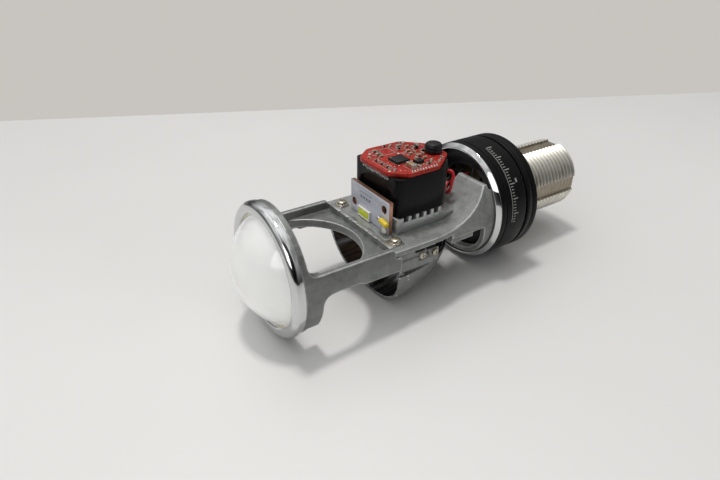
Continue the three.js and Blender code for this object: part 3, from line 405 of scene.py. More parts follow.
def tin():
    """Soldered tin: bright, lumpy, a little dull in places."""
    s = Shader("soldered_tin")
    lump = s.noise(1600, 4, 0.6)
    tone = s.ramp(lump, (0.3, (0.5, 0.47, 0.4)), (0.7, (0.82, 0.8, 0.74)))
    roughness = s.ramp(lump, (0.3, 0.18), (0.7, 0.4))
    normal = s.bump(lump, 0.00006, 0.7)
    return s.surface(base_color=tone, metallic=0.95, roughness=roughness, normal=normal)


def paint(name, color):
    """Screen print: flat colour with scuffed specks."""
    s = Shader(name)
    speck = s.noise(2400, 4, 0.6)
    tone = s.mix(s.ramp(speck, (0.5, 0.0), (0.7, 0.5)), color, tuple(0.5 * c for c in color))
    return s.surface(base_color=tone, roughness=0.5, normal=s.bump(speck, 0.00001, 0.4))


MATERIALS = {
    "chrome_ring": chrome(),
    "lens_glass": lens_glass(),
    "gasket": plastic("cream_silicone", (0.76, 0.7, 0.52), 0.4, spread=0.12),
    "die_casting": cast_metal("die_casting", (0.17, 0.175, 0.17), (0.27, 0.28, 0.27)),
    "bowl_casting": mirror_bowl(),
    "sheet_steel": machined_metal("sheet_steel", (0.46, 0.46, 0.45), 0.28, (1, 8, 1)),
    "nickel_fasteners": machined_metal("warm_nickel", (0.62, 0.57, 0.46), 0.16, (3, 3, 3)),
    "fins": machined_metal("satin_aluminium", (0.6, 0.61, 0.61), 0.36, (6, 0.4, 6)),
    "black_case": plastic("black_case", (0.004, 0.004, 0.0045), 0.18, coat=0.02, gloss=0.12),
    "red_board": solder_mask(),
    "black_chips": plastic("black_chips", (0.007, 0.007, 0.0075), 0.3, gloss=0.35),
    "tan_parts": plastic("tan_ceramic", (0.3, 0.19, 0.1), 0.35, spread=0.4),
    "clear_glue": clear_glue(),
    "red_wire": plastic("red_insulation", (0.62, 0.018, 0.02), 0.3, coat=0.2),
    "black_wire": plastic("black_insulation", (0.01, 0.01, 0.01), 0.3, coat=0.2),
    "white_board": board_core(),
    "led_ceramic": plastic("white_ceramic", (0.78, 0.77, 0.71), 0.34, spread=0.08),
    "led_phosphor": phosphor(),
    "yellow_sleeve": plastic("yellow_sleeve", (0.74, 0.55, 0.015), 0.2, coat=0.5, spread=0.1),
    "black_anodised": anodised(),
    "tail_metal": tail_metal(),
    "fan_plastic": plastic("fan_plastic", (0.007, 0.007, 0.0075), 0.34, gloss=0.3),
    "bearing_bronze": machined_metal("sintered_bronze", (0.45, 0.28, 0.12), 0.34),
}
PALE_CASTING = cast_metal("pale_casting", (0.24, 0.248, 0.24), (0.4, 0.41, 0.395), 0.66)
TIN = tin()
WHITE_PRINT = paint("white_print", (0.36, 0.36, 0.345))
GREY_PRINT = paint("grey_print", (0.2, 0.21, 0.24))


# ---- meshes


def new_object(name, mesh):
    obj = bpy.data.objects.new(name, mesh)
    bpy.context.scene.collection.objects.link(obj)
    return obj


def from_bmesh(name, bm, origin=LENS_CENTRE):
    bmesh.ops.recalc_face_normals(bm, faces=bm.faces)
    bmesh.ops.translate(bm, verts=bm.verts, vec=origin)
    mesh = bpy.data.meshes.new(name)
    bm.to_mesh(mesh)
    bm.free()
    return new_object(name, mesh)


def rounded(points, radius, steps=4, closed=True):
    """Rounds the corners of an outline. A point may carry its own radius as a third value."""
    out = []
    count = len(points)
    for i, point in enumerate(points):
        fillet = point[2] if len(point) > 2 else radius
        if fillet == 0 or (not closed and i in (0, count - 1)):
            out.append(tuple(point[:2]))
            continue
        corner = Vector(point[:2])
        before = Vector(points[i - 1][:2]) - corner
        after = Vector(points[(i + 1) % count][:2]) - corner
        reach = min(fillet, before.length * 0.48, after.length * 0.48)
        start = corner + before.normalized() * reach
        end = corner + after.normalized() * reach
        for k in range(steps + 1):
            t = k / steps
            q = start * (1 - t) ** 2 + corner * (2 * t * (1 - t)) + end * t**2
            out.append((q.x, q.y))
    return out


def lathe(name, profile, axis_z=0.0, segments=180):
    """Revolves (x, radius) points, in millimetres, about an axis along X at height axis_z."""
    bm = bmesh.new()
    rings = []
    for x, r in profile:
        if r < 1e-6:
            rings.append([bm.verts.new((x * MM, 0, axis_z * MM))])
            continue
        turn = [2 * math.pi * k / segments for k in range(segments)]
        rings.append(
            [
                bm.verts.new((x * MM, r * math.sin(a) * MM, (axis_z + r * math.cos(a)) * MM))
                for a in turn
            ]
        )
    closed = len(rings[0]) > 1
    pairs = list(zip(rings, rings[1:] + rings[:1])) if closed else list(zip(rings, rings[1:]))
    for a, b in pairs:
        for k in range(segments):
            n = (k + 1) % segments
            corners = [a[k % len(a)], a[n % len(a)], b[n % len(b)], b[k % len(b)]]
            face = list(dict.fromkeys(corners))
            if len(face) > 2:
                bm.faces.new(face)
    return from_bmesh(name, bm)


BEVEL_LIMIT = 28
NEAREST_WELD = 1e-6


def settle(obj):
    """Replaces an object's mesh with its evaluated mesh, so that no modifier is left."""
    graph = bpy.context.evaluated_depsgraph_get()
    mesh = bpy.data.meshes.new_from_object(obj.evaluated_get(graph), depsgraph=graph)
    obj.modifiers.clear()
    obj.data = mesh
    return obj


def smooth(obj, angle=32.0):
    """Smooth shading, with edges sharper than the angle kept crisp."""
    obj.data.polygons.foreach_set("use_smooth", [True] * len(obj.data.polygons))
    obj.data.set_sharp_from_angle(angle=math.radians(angle))
    return obj


def cad_copy(node):
    """A welded copy of a CAD node's mesh, with its flat faces made whole again."""
    bm = bmesh.new()
    bm.from_mesh(frame["nodes"][node].data)
    bmesh.ops.remove_doubles(bm, verts=bm.verts, dist=NEAREST_WELD)
    flat = math.radians(0.6)
    bmesh.ops.dissolve_limit(bm, angle_limit=flat, verts=bm.verts, edges=bm.edges)
    return from_bmesh(node + "_fine", bm, Vector((0, 0, 0)))


def bevelled(obj, width, segments=2):
    """Bevels every edge sharper than the limit; the width is in millimetres."""
    bevel = obj.modifiers.new("edges", "BEVEL")
    bevel.width = width * MM
    bevel.segments = segments
    bevel.limit_method = "ANGLE"
    bevel.angle_limit = math.radians(BEVEL_LIMIT)
    bevel.miter_outer = "MITER_ARC"
    settle(obj)
    return smooth(obj, 40)


def softened(obj, voxel, passes):
    """Remeshes a casting so that every edge gets the small radius a mould leaves."""
    remesh = obj.modifiers.new("skin", "REMESH")
    remesh.mode = "VOXEL"
    remesh.voxel_size = voxel * MM
    relax = obj.modifiers.new("relax", "SMOOTH")
    relax.factor = 0.5
    relax.iterations = passes
    settle(obj)
    obj.data.polygons.foreach_set("use_smooth", [True] * len(obj.data.polygons))
    return obj


def block(bm, centre, size, material=0, turn=0.0):
    """Adds a block to a mesh, turned about the vertical through its centre."""
    verts = bmesh.ops.create_cube(bm, size=1.0)["verts"]
    place = Matrix.Translation(Vector(centre) * MM) @ Matrix.Rotation(turn, 4, "Z")
    stretch = Matrix.Diagonal((*[v * MM for v in size], 1))
    bmesh.ops.transform(bm, matrix=place @ stretch, verts=verts)
    for face in {face for vert in verts for face in vert.link_faces}:
        face.material_index = material


def lump(bm, centre, radii, subdivisions):
    """Adds an ellipsoid to a mesh, all in millimetres."""
    made = bmesh.ops.create_icosphere(bm, subdivisions=subdivisions, radius=MM)["verts"]
    place = Matrix.Translation(Vector(centre) * MM) @ Matrix.Diagonal((*radii, 1))
    bmesh.ops.transform(bm, matrix=place, verts=made)


def disc(bm, centre, lower_r, upper_r, depth, segments=20):
    """Adds a low round button to a mesh, all in millimetres."""
    made = bmesh.ops.create_cone(
        bm, cap_ends=True, segments=segments, radius1=lower_r * MM, radius2=upper_r * MM,
        depth=depth * MM,
    )["verts"]
    bmesh.ops.translate(bm, verts=made, vec=Vector(centre) * MM)


def extruded(name, outline, low, high, place):
    """Extrudes an outline between two levels; place turns (u, v, level) into (x, y, z)."""
    bm = bmesh.new()
    near = [bm.verts.new(Vector(place(u, v, low)) * MM) for u, v in outline]
    far = [bm.verts.new(Vector(place(u, v, high)) * MM) for u, v in outline]
    bm.faces.new(near)
    bm.faces.new(far)
    for k in range(len(outline)):
        n = (k + 1) % len(outline)
        bm.faces.new([near[k], near[n], far[n], far[k]])
    return from_bmesh(name, bm)


def prism(name, outline, low, high):
    """Extrudes an outline of (x, z) points, in millimetres, between two levels of y."""
    return extruded(name, outline, low, high, lambda x, z, y: (x, y, z))


def plate(name, outline, low, high):
    """Extrudes an outline of (x, y) points, in millimetres, between two heights."""
    return extruded(name, outline, low, high, lambda x, y, z: (x, y, z))


def boolean(obj, tool, operation):
    """Joins or cuts an object with a tool, which is used up."""
    modifier = obj.modifiers.new("cut", "BOOLEAN")
    modifier.object = tool
    modifier.operation = operation
    modifier.solver = "EXACT"
    settle(obj)
    bpy.data.objects.remove(tool)
    return obj


def sweep(name, path, radius, sides=16, steps=90):
    """A round wire along a smooth path through the given points, in millimetres."""
    points = [Vector(p) for p in path]
    ends = [2 * points[0] - points[1], *points, 2 * points[-1] - points[-2]]
    line = []
    for k in range(steps + 1):
        t = k / steps * (len(points) - 1)
        i = min(int(t), len(points) - 2)
        u = t - i
        a, b, c, d = ends[i : i + 4]
        line.append(
            0.5 * (2 * b + (c - a) * u + (2 * a - 5 * b + 4 * c - d) * u**2
                   + (3 * b - a - 3 * c + d) * u**3)
        )
    bm = bmesh.new()
    side = Vector((0, 0, 1))
    rings = []
    for k, centre in enumerate(line):
        along = (line[min(k + 1, steps)] - line[max(k - 1, 0)]).normalized()
        side = (side - along * side.dot(along)).normalized()
        other = along.cross(side)
        turn = [2 * math.pi * q / sides for q in range(sides)]
        spokes = [side * math.cos(w) + other * math.sin(w) for w in turn]
        rings.append([bm.verts.new((centre + spoke * radius) * MM) for spoke in spokes])
    for a, b in zip(rings, rings[1:]):
        for q in range(sides):
            n = (q + 1) % sides
            bm.faces.new([a[q], a[n], b[n], b[q]])
    bm.faces.new(rings[0])
    bm.faces.new(rings[-1])
    return from_bmesh(name, bm)


def finish_piece(obj, slot, body, *nodes, materials=None):
    """Gives a piece its materials, looked up by slot, parents it to its body and hides the CAD nodes
    it stands for.
    """
    numbers = [polygon.material_index for polygon in obj.data.polygons]
    obj.data.materials.clear()
    for material in materials or [MATERIALS[slot]]:
        obj.data.materials.append(material)
    obj.data.polygons.foreach_set("material_index", numbers if materials else [0] * len(numbers))
    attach(obj, body)
    if nodes:
        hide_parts(*nodes)
    return obj


def stand_in(node, obj, materials=None):
    """A finer piece that stands for one CAD node: it takes the materials of the node's slot and the
    node's body, and hides the node.
    """
    return finish_piece(obj, SLOTS[node], BODY_OF[node], node, materials=materials)


# ---- turned parts


def spherical_profile(centre_x, radius, end_angle, steps):
    """Points (x, radius) on a ball, from its front pole outwards."""
    for k in range(steps + 1):
        a = end_angle * k / steps
        yield centre_x - radius * math.cos(a), radius * math.sin(a)


def make_lens():
    sphere_r, height, flange_r, flange_x, back_x = 22.5, 9.4, 21.2, 2.2, 4.0
    centre_x = sphere_r - height
    end = math.acos((centre_x - flange_x) / sphere_r)
    dome = list(spherical_profile(centre_x, sphere_r, end, 60))
    tail = rounded(
        [dome[-1], (flange_x, flange_r), (back_x, flange_r), (back_x, 0)], 0.25, 4, closed=False
    )
    obj = lathe("lens_fine", dome[:-1] + tail, segments=160)
    stand_in("lens", smooth(obj, 40))


def make_bezel():
    profile = [
        (0.55, 19.85, 0.35), (0.0, 20.5, 0.5), (0.0, 22.7, 2.0), (1.5, 24.0, 1.2),
        (3.5, 24.0, 0.15), (3.5, 22.0, 0.1), (1.5, 22.0, 0.1), (1.5, 19.85, 0.1),
    ]
    obj = lathe("bezel_ring_fine", rounded(profile, 0.2, 7), segments=200)
    stand_in("bezel_ring", smooth(obj, 50))


def make_collar():
    bore, outer, seat = 21.3, 23.5, 14.9
    profile = [
        (87.3, bore, 0.1), (87.3, outer - 0.12, 0.12), (89.45, outer), (89.55, outer - 0.45, 0.1),
        (90.0, outer - 0.45, 0.1), (90.1, outer), (99.8, outer, 0.3), (100.1, outer - 0.5, 0.2),
        (100.1, seat, 0.2), (98.2, seat, 0.2), (98.2, bore, 0.4),
    ]
    obj = lathe("collar_fine", rounded(profile, 0.08, 3), REAR_AXIS_Z, 200)
    stand_in("collar", smooth(obj, 40))


def make_collar_rim():
    profile = [
        (87.2, 21.3, 0.1), (85.65, 21.3, 0.15), (85.65, 21.75, 0.3), (86.95, 23.3, 0.3),
        (87.2, 23.3, 0.1),
    ]
    obj = lathe("collar_rim_fine", rounded(profile, 0.15, 5), REAR_AXIS_Z, 200)
    stand_in("collar_rim", smooth(obj, 50))


def make_lock_ring():
    profile = [
        (101.1, 14.9, 0.3), (101.1, 23.5, 0.5), (103.2, 23.5, 0), (103.3, 23.42, 0),
        (103.45, 23.42, 0), (103.55, 23.5, 0), (106.4, 23.5, 0.6), (106.4, 14.9, 0.3),
    ]
    obj = lathe("lock_ring_fine", rounded(profile, 0.1, 5), REAR_AXIS_Z, 200)
    stand_in("lock_ring", smooth(obj, 40))


def thread_radius(x, angle, crest, depth, pitch, start, end):
    """Rounded V thread that winds round the tail and fades out at both ends."""
    phase = (x / pitch - angle / (2 * math.pi)) % 1.0
    tooth = abs(2 * phase - 1)
    shape = min(1.0, max(0.0, (tooth - 0.12) / 0.7))
    fade = max(0.0, min(1.0, (x - start) / pitch, (end - x) / (0.6 * pitch)))
    return crest - depth * (1 - shape) * fade


def make_tail():
    """Threaded tube with four key slots, made as one closed skin over angle and length."""
    bore, crest, depth, pitch = 12.0, 14.56, 0.6, 2.0
    back, front, flange_x, flange_r = 140.6, 96.3, 98.1, 18.0
    slot_half, floor, floor_depth = 3.2, 13.1, 0.16
    start, ring_step, thread_start, slot_start, chamfer = 98.15, 0.2, 101.0, 98.4, 0.7
    floor_parts, gap_parts, wall = 8, 26, 0.004
    edge = math.asin(slot_half / crest)
    angles = []
    for quarter in range(4):
        middle = quarter * math.pi / 2
        steps = [-edge - wall, -edge + wall]
        across = 2 * edge - 2 * wall
        steps += [-edge + wall + across * k / floor_parts for k in range(1, floor_parts)]
        steps += [edge - wall, edge + wall]
        gap = math.pi / 2 - 2 * edge - 2 * wall
        steps += [edge + wall + gap * k / gap_parts for k in range(1, gap_parts)]
        angles += [middle + a for a in steps]
    lengths = [start + ring_step * k for k in range(int((back - start) / ring_step))]
    lengths += [back - 0.05]
    bm = bmesh.new()

    def ring(x, radius_at):
        return [
            bm.verts.new(
                (x * MM, radius_at(a) * math.sin(a) * MM,
                 (REAR_AXIS_Z + radius_at(a) * math.cos(a)) * MM)
            )
            for a in angles
        ]

    def outside(x):
        def radius_at(a):
            off = (a + math.pi / 4) % (math.pi / 2) - math.pi / 4
            r = thread_radius(x, a, crest, depth, pitch, thread_start, back)
            r = min(r, crest - max(0.0, x - back + chamfer) * 0.7)
            if abs(off) < edge and x > slot_start:
                groove = thread_radius(x, a, floor, floor_depth, pitch, thread_start, back)
                r = min(r, groove / math.cos(off))
            return r
        return radius_at

    rings = [ring(front, lambda a: bore), ring(front, lambda a: flange_r - 0.2)]
    rings += [ring(front + 0.2, lambda a: flange_r), ring(flange_x, lambda a: flange_r)]
    rings += [ring(x, outside(x)) for x in lengths]
    rings += [ring(back, lambda a: outside(back)(a) - 0.08), ring(back, lambda a: bore + 0.3)]
    rings += [ring(back - 0.3, lambda a: bore)]
    count = len(angles)
    for a, b in zip(rings, rings[1:] + rings[:1]):
        for k in range(count):
            n = (k + 1) % count
            bm.faces.new([a[k], a[n], b[n], b[k]])
    stand_in("tail_tube", smooth(from_bmesh("tail_tube_fine", bm), 50))


# ---- cast parts


BOWL = {
    "mouth": 39.2, "end": 76.5, "radius": 23.3, "wall": 1.3, "flatness": 0.97, "squareness": 2.5,
    "edge_z": -4.4,
}
BOWL_VOXEL, CASTING_VOXEL = 0.26, 0.28
DEEPEST = -24


def bowl_solid(inset):
    """Half-bowl whose round section is drawn out towards a square, its mouth towards the lens."""
    mouth, end, radius = BOWL["mouth"], BOWL["end"] - inset, BOWL["radius"] - inset
    profile = [(mouth - 4 - inset, 0), (mouth - 4 - inset, radius)]
    steps = 40
    for k in range(steps):
        angle = math.pi / 2 * k / steps
        profile.append((mouth + (end - mouth) * math.sin(angle), radius * math.cos(angle)))
    profile.append((end, 0))
    obj = lathe("bowl", profile, segments=200)
    power = BOWL["squareness"]
    for vertex in obj.data.vertices:
        y, z = vertex.co.y, vertex.co.z - LENS_CENTRE.z
        out = math.hypot(y, z)
        if out > 1e-7:
            stretch = (abs(y / out) ** power + abs(z / out) ** power) ** (-1 / power)
            vertex.co.y = y * stretch
            vertex.co.z = LENS_CENTRE.z + z * stretch * BOWL["flatness"]
    return obj


def make_bowl():
    """Shell with a slanted mouth, and on each side a flange, a step, a lug and their bridge."""
    edge, end = BOWL["edge_z"], BOWL["end"] + 1
    top, foot = BOWL["mouth"] + 0.8, BOWL["mouth"] + 3.9
    keep = [(top, edge), (foot, DEEPEST), (end, DEEPEST), (end, edge)]
    shell = boolean(bowl_solid(0), bowl_solid(BOWL["wall"]), "DIFFERENCE")
    shell = boolean(shell, prism("keep", keep, DEEPEST, -DEEPEST), "INTERSECT")
    flange = [
        (41, -3.3), (55.3, -3.3), (55.3, -1.6), (52.4, 1.1), (52.4, 2.4), (47.6, 2.4),
        (47.6, 3.5), (41, 3.5),
    ]
    raised = [
        (41, 1.0), (41, -3.3), (55.3, -3.3), (55.3, -1.6), (54.4, -0.8), (48.8, -0.8), (48.8, 1.0),
    ]
    lug = [(55, -5.2), (60, -5.2), (60, 0.1), (59.5, 0.6), (55, 0.6)]
    bridge = [(43, edge - 2), (53, edge - 2), (53, -3), (43, -3)]
    for side in (-1, 1):
        for outline, inner, outer in (
            (flange, 19.0, 21.7), (raised, 19.2, 22.2), (lug, 17.6, 19.9), (bridge, 19.7, 21.1),
        ):
            low, high = sorted((side * inner, side * outer))
            boolean(shell, prism("part", outline, low, high), "UNION")
    shell.name = "reflector_bowl_fine"
    stand_in("reflector_bowl", softened(shell, BOWL_VOXEL, 5))


def make_castings():
    """The base casting is given a paler tone than the front frame."""
    for node, looks in (("front_frame", None), ("base_casting", [PALE_CASTING])):
        stand_in(node, softened(cad_copy(node), CASTING_VOXEL, 3), looks)


# ---- small parts


def make_edged_parts():
    """CAD nodes whose shape is right and only needs soft edges, with the edge's width."""
    widths = {
        "lens_gasket": 0.12, "heat_sink": 0.15, "driver_housing": 0.3,
        "driver_potting": 0.2, "led_board": 0.08,
        "high_beam_led_frame": 0.1, "high_beam_led_phosphor": 0.06,
        "lower_led_board": 0.08, "low_beam_led_frame": 0.1, "low_beam_led_phosphor": 0.06,
        "keyed_washer": 0.1, "set_screw_1": 0.08, "set_screw_2": 0.08, "fan_frame": 0.2,
        "fan_rotor": 0.12, "fan_shaft": 0.06, "fan_bearing": 0.08, "power_socket": 0.25,
        "plate_washer_near": 0.08, "plate_washer_far": 0.08,
        "plate_screw_near": 0.1, "plate_screw_far": 0.1,
        "bowl_screw_near_front": 0.08, "bowl_screw_near_rear": 0.08,
        "bowl_screw_far_front": 0.08, "bowl_screw_far_rear": 0.08,
        "thermistor_end": 0.15, "driver_inductor": 0.15,
    }
    for node, width in widths.items():
        stand_in(node, bevelled(cad_copy(node), width))


def make_soft_parts():
    """Sleeve and solder: subdivided until they are round."""
    for node in ("thermistor", "thermistor_solder"):
        obj = cad_copy(node)
        subdivision = obj.modifiers.new("round", "SUBSURF")
        subdivision.levels = 2
        settle(obj)
        stand_in(node, smooth(obj, 60))


def make_shield():
    """Thin strip on the plate's front edge, its edge stepped and notched, with an ear per screw."""
    front, back, ear, low = 38.2, 39.9, 44.4, 6.02
    notches = [
        (-19.4, 0), (-13.2, 0), (-13.2, 0.7), (-11.6, 0.7), (-11.6, 0), (-8.4, 0), (-8.0, 0.9),
        (-5.8, 0.9), (-5.4, 0.2), (-2.2, 0.2), (-1.4, 1.0), (1.8, 1.0), (2.6, 0.1), (5.0, 0.1),
        (5.3, 0.7), (7.2, 0.7), (7.5, 0), (10.2, 0), (10.5, 0.8), (12.6, 0.8), (12.9, 0), (19.4, 0),
    ]
    edge = [(front + depth, y) for y, depth in notches]
    outline = edge + [
        (ear, 19.4), (ear, 15.0), (back, 14.4), (back, 6.4), (back + 0.5, 6.1), (back + 0.5, 3.4),
        (back, 3.1), (back, -4.2), (back + 0.5, -4.5), (back + 0.5, -7.2), (back, -7.5),
        (back, -14.4), (ear, -15.0), (ear, -19.4),
    ]
    stand_in("cutoff_shield", bevelled(plate("cutoff_shield_fine", outline, low, low + 0.3), 0.06))


def make_wires():
    """The driver's two leads, which turn down behind the case and run into the collar."""
    radius = 0.62
    red = [
        (73.65, -5.2, 20.6), (74.6, -7, 21.2), (74.9, -8, 19.6), (74.3, -8.3, 16.8),
        (73.9, -8, 14.2), (74, -6.8, 12.6), (75, -4.6, 12), (77, -2.2, 12.4), (79.6, -1, 13.7),
        (85, -0.9, 14.2), (89.4, -0.9, 14.2),
    ]
    black = [
        (73.45, -3.2, 21.4), (75, -4.4, 21), (76.4, -5.4, 19), (76.4, -4.6, 16.6),
        (77.4, -0.6, 14.9), (81, 0.9, 13.6), (85, 0.9, 13.4), (89.4, 0.9, 13.4),
    ]
    stand_in("red_wire", smooth(sweep("red_wire_fine", red, radius), 50))
    stand_in("black_wire", smooth(sweep("black_wire_fine", black, radius), 50))


def make_glue():
    """Lumps of adhesive squeezed out along the case's front edge, under the circuit board."""
    draw = random.Random(5)
    bm = bmesh.new()
    case_front, level, y, last_y = 46.15, 25.9, -6.2, 8.2
    while y < last_y:
        size = draw.uniform(0.55, 1.0)
        centre = (case_front - 0.25 * size, y, level - draw.uniform(0.35, 0.9))
        lump(bm, centre, (0.55 * size, 1.1 * size, 0.85 * size), 3)
        y += draw.uniform(0.7, 1.5) * size
    stand_in("glue_bead", softened(from_bmesh("glue_bead_fine", bm), 0.12, 6))


# ---- circuit board


BOARD_TOP = 27.7
BOARD_UNDERSIDE = 26.3
PART_LOOKS = [MATERIALS["tan_parts"], TIN, MATERIALS["black_chips"]]
CERAMIC, TINNED, BLACK = 0, 1, 2


def make_driver_board():
    """The circuit board: a rectangle with its corners cut off."""
    outline = [
        (50.6, -12.4), (64.4, -12.4), (74.2, -4.8), (74.2, 6.4), (66.3, 14.2), (51.4, 14.4),
        (44.9, 9.2), (44.9, -6.9),
    ]
    board = plate("driver_board_fine", rounded(outline, 1.5, 5), BOARD_UNDERSIDE, BOARD_TOP)
    stand_in("driver_board", bevelled(board, 0.12))


def chip(bm, x, y, length, width, height, turn=0.0, body=CERAMIC):
    """A two-ended chip part: a body, tinned ends and a fillet of solder at each end."""
    middle = Vector((x, y, BOARD_TOP))
    along = Vector((math.cos(turn), math.sin(turn), 0))
    end = 0.22 * length
    lift = Vector((0, 0, height * 0.48 + 0.04))
    block(bm, middle + lift, (length - end, width * 0.92, height * 0.9), body, turn)
    for side in (-1, 1):
        cap = middle + along * (side * (length - end) / 2) + lift
        block(bm, cap, (end, width, height), TINNED, turn)
        fillet = middle + along * (side * (length / 2 + 0.1)) + Vector((0, 0, height * 0.14))
        block(bm, fillet, (0.42, width * 1.12, height * 0.28), TINNED, turn)


def make_board_chips():
    """The two-ended parts that are CAD nodes, each at its node's own place and size."""
    names = [f"chip_resistor_{k}" for k in (1, 2, 3)]
    names += [f"chip_capacitor_{k}" for k in (1, 2, 3, 4, 5)] + ["bulk_capacitor", "schottky_diode"]
    for name in names:
        low, high = [(corner - LENS_CENTRE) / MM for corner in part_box(name)]
        size, middle = high - low, (low + high) / 2
        turn = 0.0 if size.x >= size.y else math.pi / 2
        bm = bmesh.new()
        body = BLACK if "resistor" in name or "diode" in name else CERAMIC
        chip(bm, middle.x, middle.y, max(size.x, size.y), min(size.x, size.y), size.z, turn, body)
        stand_in(name, bevelled(from_bmesh(name + "_fine", bm), 0.07), PART_LOOKS)


def make_packages():
    """Driver chip with pads on four sides, and a regulator with gull-wing leads."""
    for name, count, sides in (("driver_chip", 7, "xy"), ("driver_regulator", 3, "y")):
        low, high = [(corner - LENS_CENTRE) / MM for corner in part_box(name)]
        size, middle = high - low, (low + high) / 2
        bm = bmesh.new()
        block(bm, middle + Vector((0, 0, 0.04)), (size.x, size.y, size.z - 0.02), BLACK)
        disc(bm, (low.x + 0.7, high.y - 0.7, high.z + 0.03), 0.28, 0.28, 0.06)
        for side in sides:
            half, run = (size.x / 2, size.y) if side == "x" else (size.y / 2, size.x)
            for k in range(count):
                place = (k + 0.5) / count * run - run / 2
                for sign in (-1, 1):
                    offset, lead = (sign * (half + 0.12), place), (0.5, run / count * 0.5)
                    if side == "y":
                        offset, lead = offset[::-1], lead[::-1]
                    centre = (middle.x + offset[0], middle.y + offset[1], BOARD_TOP + 0.12)
                    block(bm, centre, (*lead, 0.24), TINNED)
        stand_in(name, bevelled(from_bmesh(name + "_fine", bm), 0.08), PART_LOOKS)


def make_small_board_parts():
    """The crowd of small parts that share one piece: (x, y, length, width, height, turn, body)."""
    crowd = [
        (52.6, 8.4, 1.5, 0.8, 0.6, 0.0, BLACK), (51.4, 5.1, 1.5, 0.8, 0.6, 0.0, CERAMIC),
        (60.0, 11.4, 1.5, 0.8, 0.7, 0.5, CERAMIC), (61.2, 7.6, 1.6, 0.9, 0.7, 0.0, BLACK),
        (64.6, 11.0, 1.4, 0.8, 0.6, 1.57, BLACK), (64.9, 7.6, 1.7, 0.9, 0.8, 0.0, CERAMIC),
        (61.6, 1.2, 1.7, 0.9, 0.8, 0.0, CERAMIC), (64.2, 2.2, 1.5, 0.8, 0.7, 1.57, CERAMIC),
        (60.9, -3.4, 1.6, 0.9, 0.8, 1.57, CERAMIC), (63.6, -4.4, 1.8, 1.0, 0.9, 0.0, CERAMIC),
        (61.9, -8.6, 1.6, 0.9, 0.7, 0.0, BLACK), (64.4, -7.2, 1.5, 0.8, 0.7, 0.8, CERAMIC),
        (67.4, 1.4, 1.6, 0.9, 0.8, 0.0, BLACK), (69.2, 7.6, 1.5, 0.8, 0.7, 0.8, CERAMIC),
        (70.6, 3.2, 1.5, 0.8, 0.7, 1.57, BLACK), (65.9, -0.6, 1.4, 0.8, 0.7, 1.57, CERAMIC),
        (66.4, -9.2, 1.5, 0.8, 0.6, 0.9, CERAMIC), (68.8, -7.2, 1.4, 0.8, 0.6, 0.9, BLACK),
        (57.4, -9.2, 1.7, 0.9, 0.7, 1.57, CERAMIC), (58.2, 12.6, 1.3, 0.7, 0.5, 0.0, BLACK),
        (47.2, 6.2, 1.4, 0.8, 0.6, 1.57, CERAMIC), (48.4, -7.2, 1.4, 0.8, 0.6, 0.7, BLACK),
    ]
    bm = bmesh.new()
    for part in crowd:
        chip(bm, *part)
    obj = bevelled(from_bmesh("small_board_parts", bm), 0.06)
    finish_piece(obj, "tan_parts", "module", materials=PART_LOOKS)


def make_board_pads():
    """Tinned pads along the near edge, test pads and rings of plated holes."""
    bm = bmesh.new()
    draw = random.Random(11)
    first_x, pitch, pad_y = 52.6, 1.2, -11.45
    for k in range(10):
        x = first_x + pitch * k
        block(bm, (x, pad_y, BOARD_TOP + 0.05), (0.62, 1.2, 0.16))
        lump(bm, (x, pad_y + 0.15, BOARD_TOP + 0.1), (0.3, 0.45, draw.uniform(0.25, 0.5)), 2)
    for x, y in ((49.6, 9.6), (46.6, -6.6), (58.8, 4.6), (66.6, 12.0), (70.2, -6.3), (72.4, 5.0)):
        disc(bm, (x, y, BOARD_TOP + 0.05), 0.62, 0.55, 0.14)
    for _ in range(34):
        x, y = draw.uniform(47.5, 72), draw.uniform(-9.5, 11.5)
        disc(bm, (x, y, BOARD_TOP + 0.03), 0.24, 0.2, 0.08, 12)
    obj = bevelled(from_bmesh("board_pads", bm), 0.05, 1)
    finish_piece(obj, "red_board", "module", materials=[TIN])


def frame_lines(bm, x, y, length, width, line=0.2):
    """The four thin lines of a printed rectangle on the circuit board."""
    level = BOARD_TOP + 0.02
    for side in (-1, 1):
        block(bm, (x + side * length / 2, y, level), (line, width + line, 0.05))
        block(bm, (x, y + side * width / 2, level), (length + line, line, 0.05))


def make_board_print():
    """White print: one large square, boxes round the parts and short marks."""
    bm = bmesh.new()
    frame_lines(bm, 55.9, 8.3, 5.3, 5.3, 0.24)
    for x, y, length, width in (
        (51.9, 9.0, 3.4, 4.4), (47.9, -0.8, 2.6, 9.4), (62.2, 9.4, 4.6, 4.8),
        (62.6, 2.6, 4.4, 3.8), (62.4, -7.6, 5.8, 3.6), (55, -7.6, 3.4, 4.4), (68.8, 5.4, 4.6, 4.2),
    ):
        frame_lines(bm, x, y, length, width, 0.14)
    for x, y in ((59.9, 2.9), (60.9, 3.6), (61.4, 4.6), (58.6, 1.2), (49.4, 4.2), (66, -5.6)):
        block(bm, (x, y, BOARD_TOP + 0.02), (1.0, 0.26, 0.05), turn=0.4)
    finish_piece(from_bmesh("board_print", bm), "red_board", "module", materials=[WHITE_PRINT])


# ---- plain marks


def make_led_board_marks():
    """Two rows of plain bars where the board carries its print."""
    yaw = math.radians(-1.5)
    origin = Vector((43.6, 0.7, 6.15))
    bm = bmesh.new()
    for level, height, bars, width, pitch in ((9.6, 0.45, 7, 0.62, 1.15), (7.8, 1.0, 4, 1.1, 1.75)):
        for k in range(bars):
            across = 2.6 + (k - (bars - 1) / 2) * pitch
            local = Matrix.Rotation(yaw, 4, "Z") @ Vector((-0.01, across, level))
            block(bm, origin + local, (0.05, width, height), turn=yaw)
    marks = from_bmesh("led_board_marks", bm)
    finish_piece(marks, "white_board", "module", materials=[GREY_PRINT])


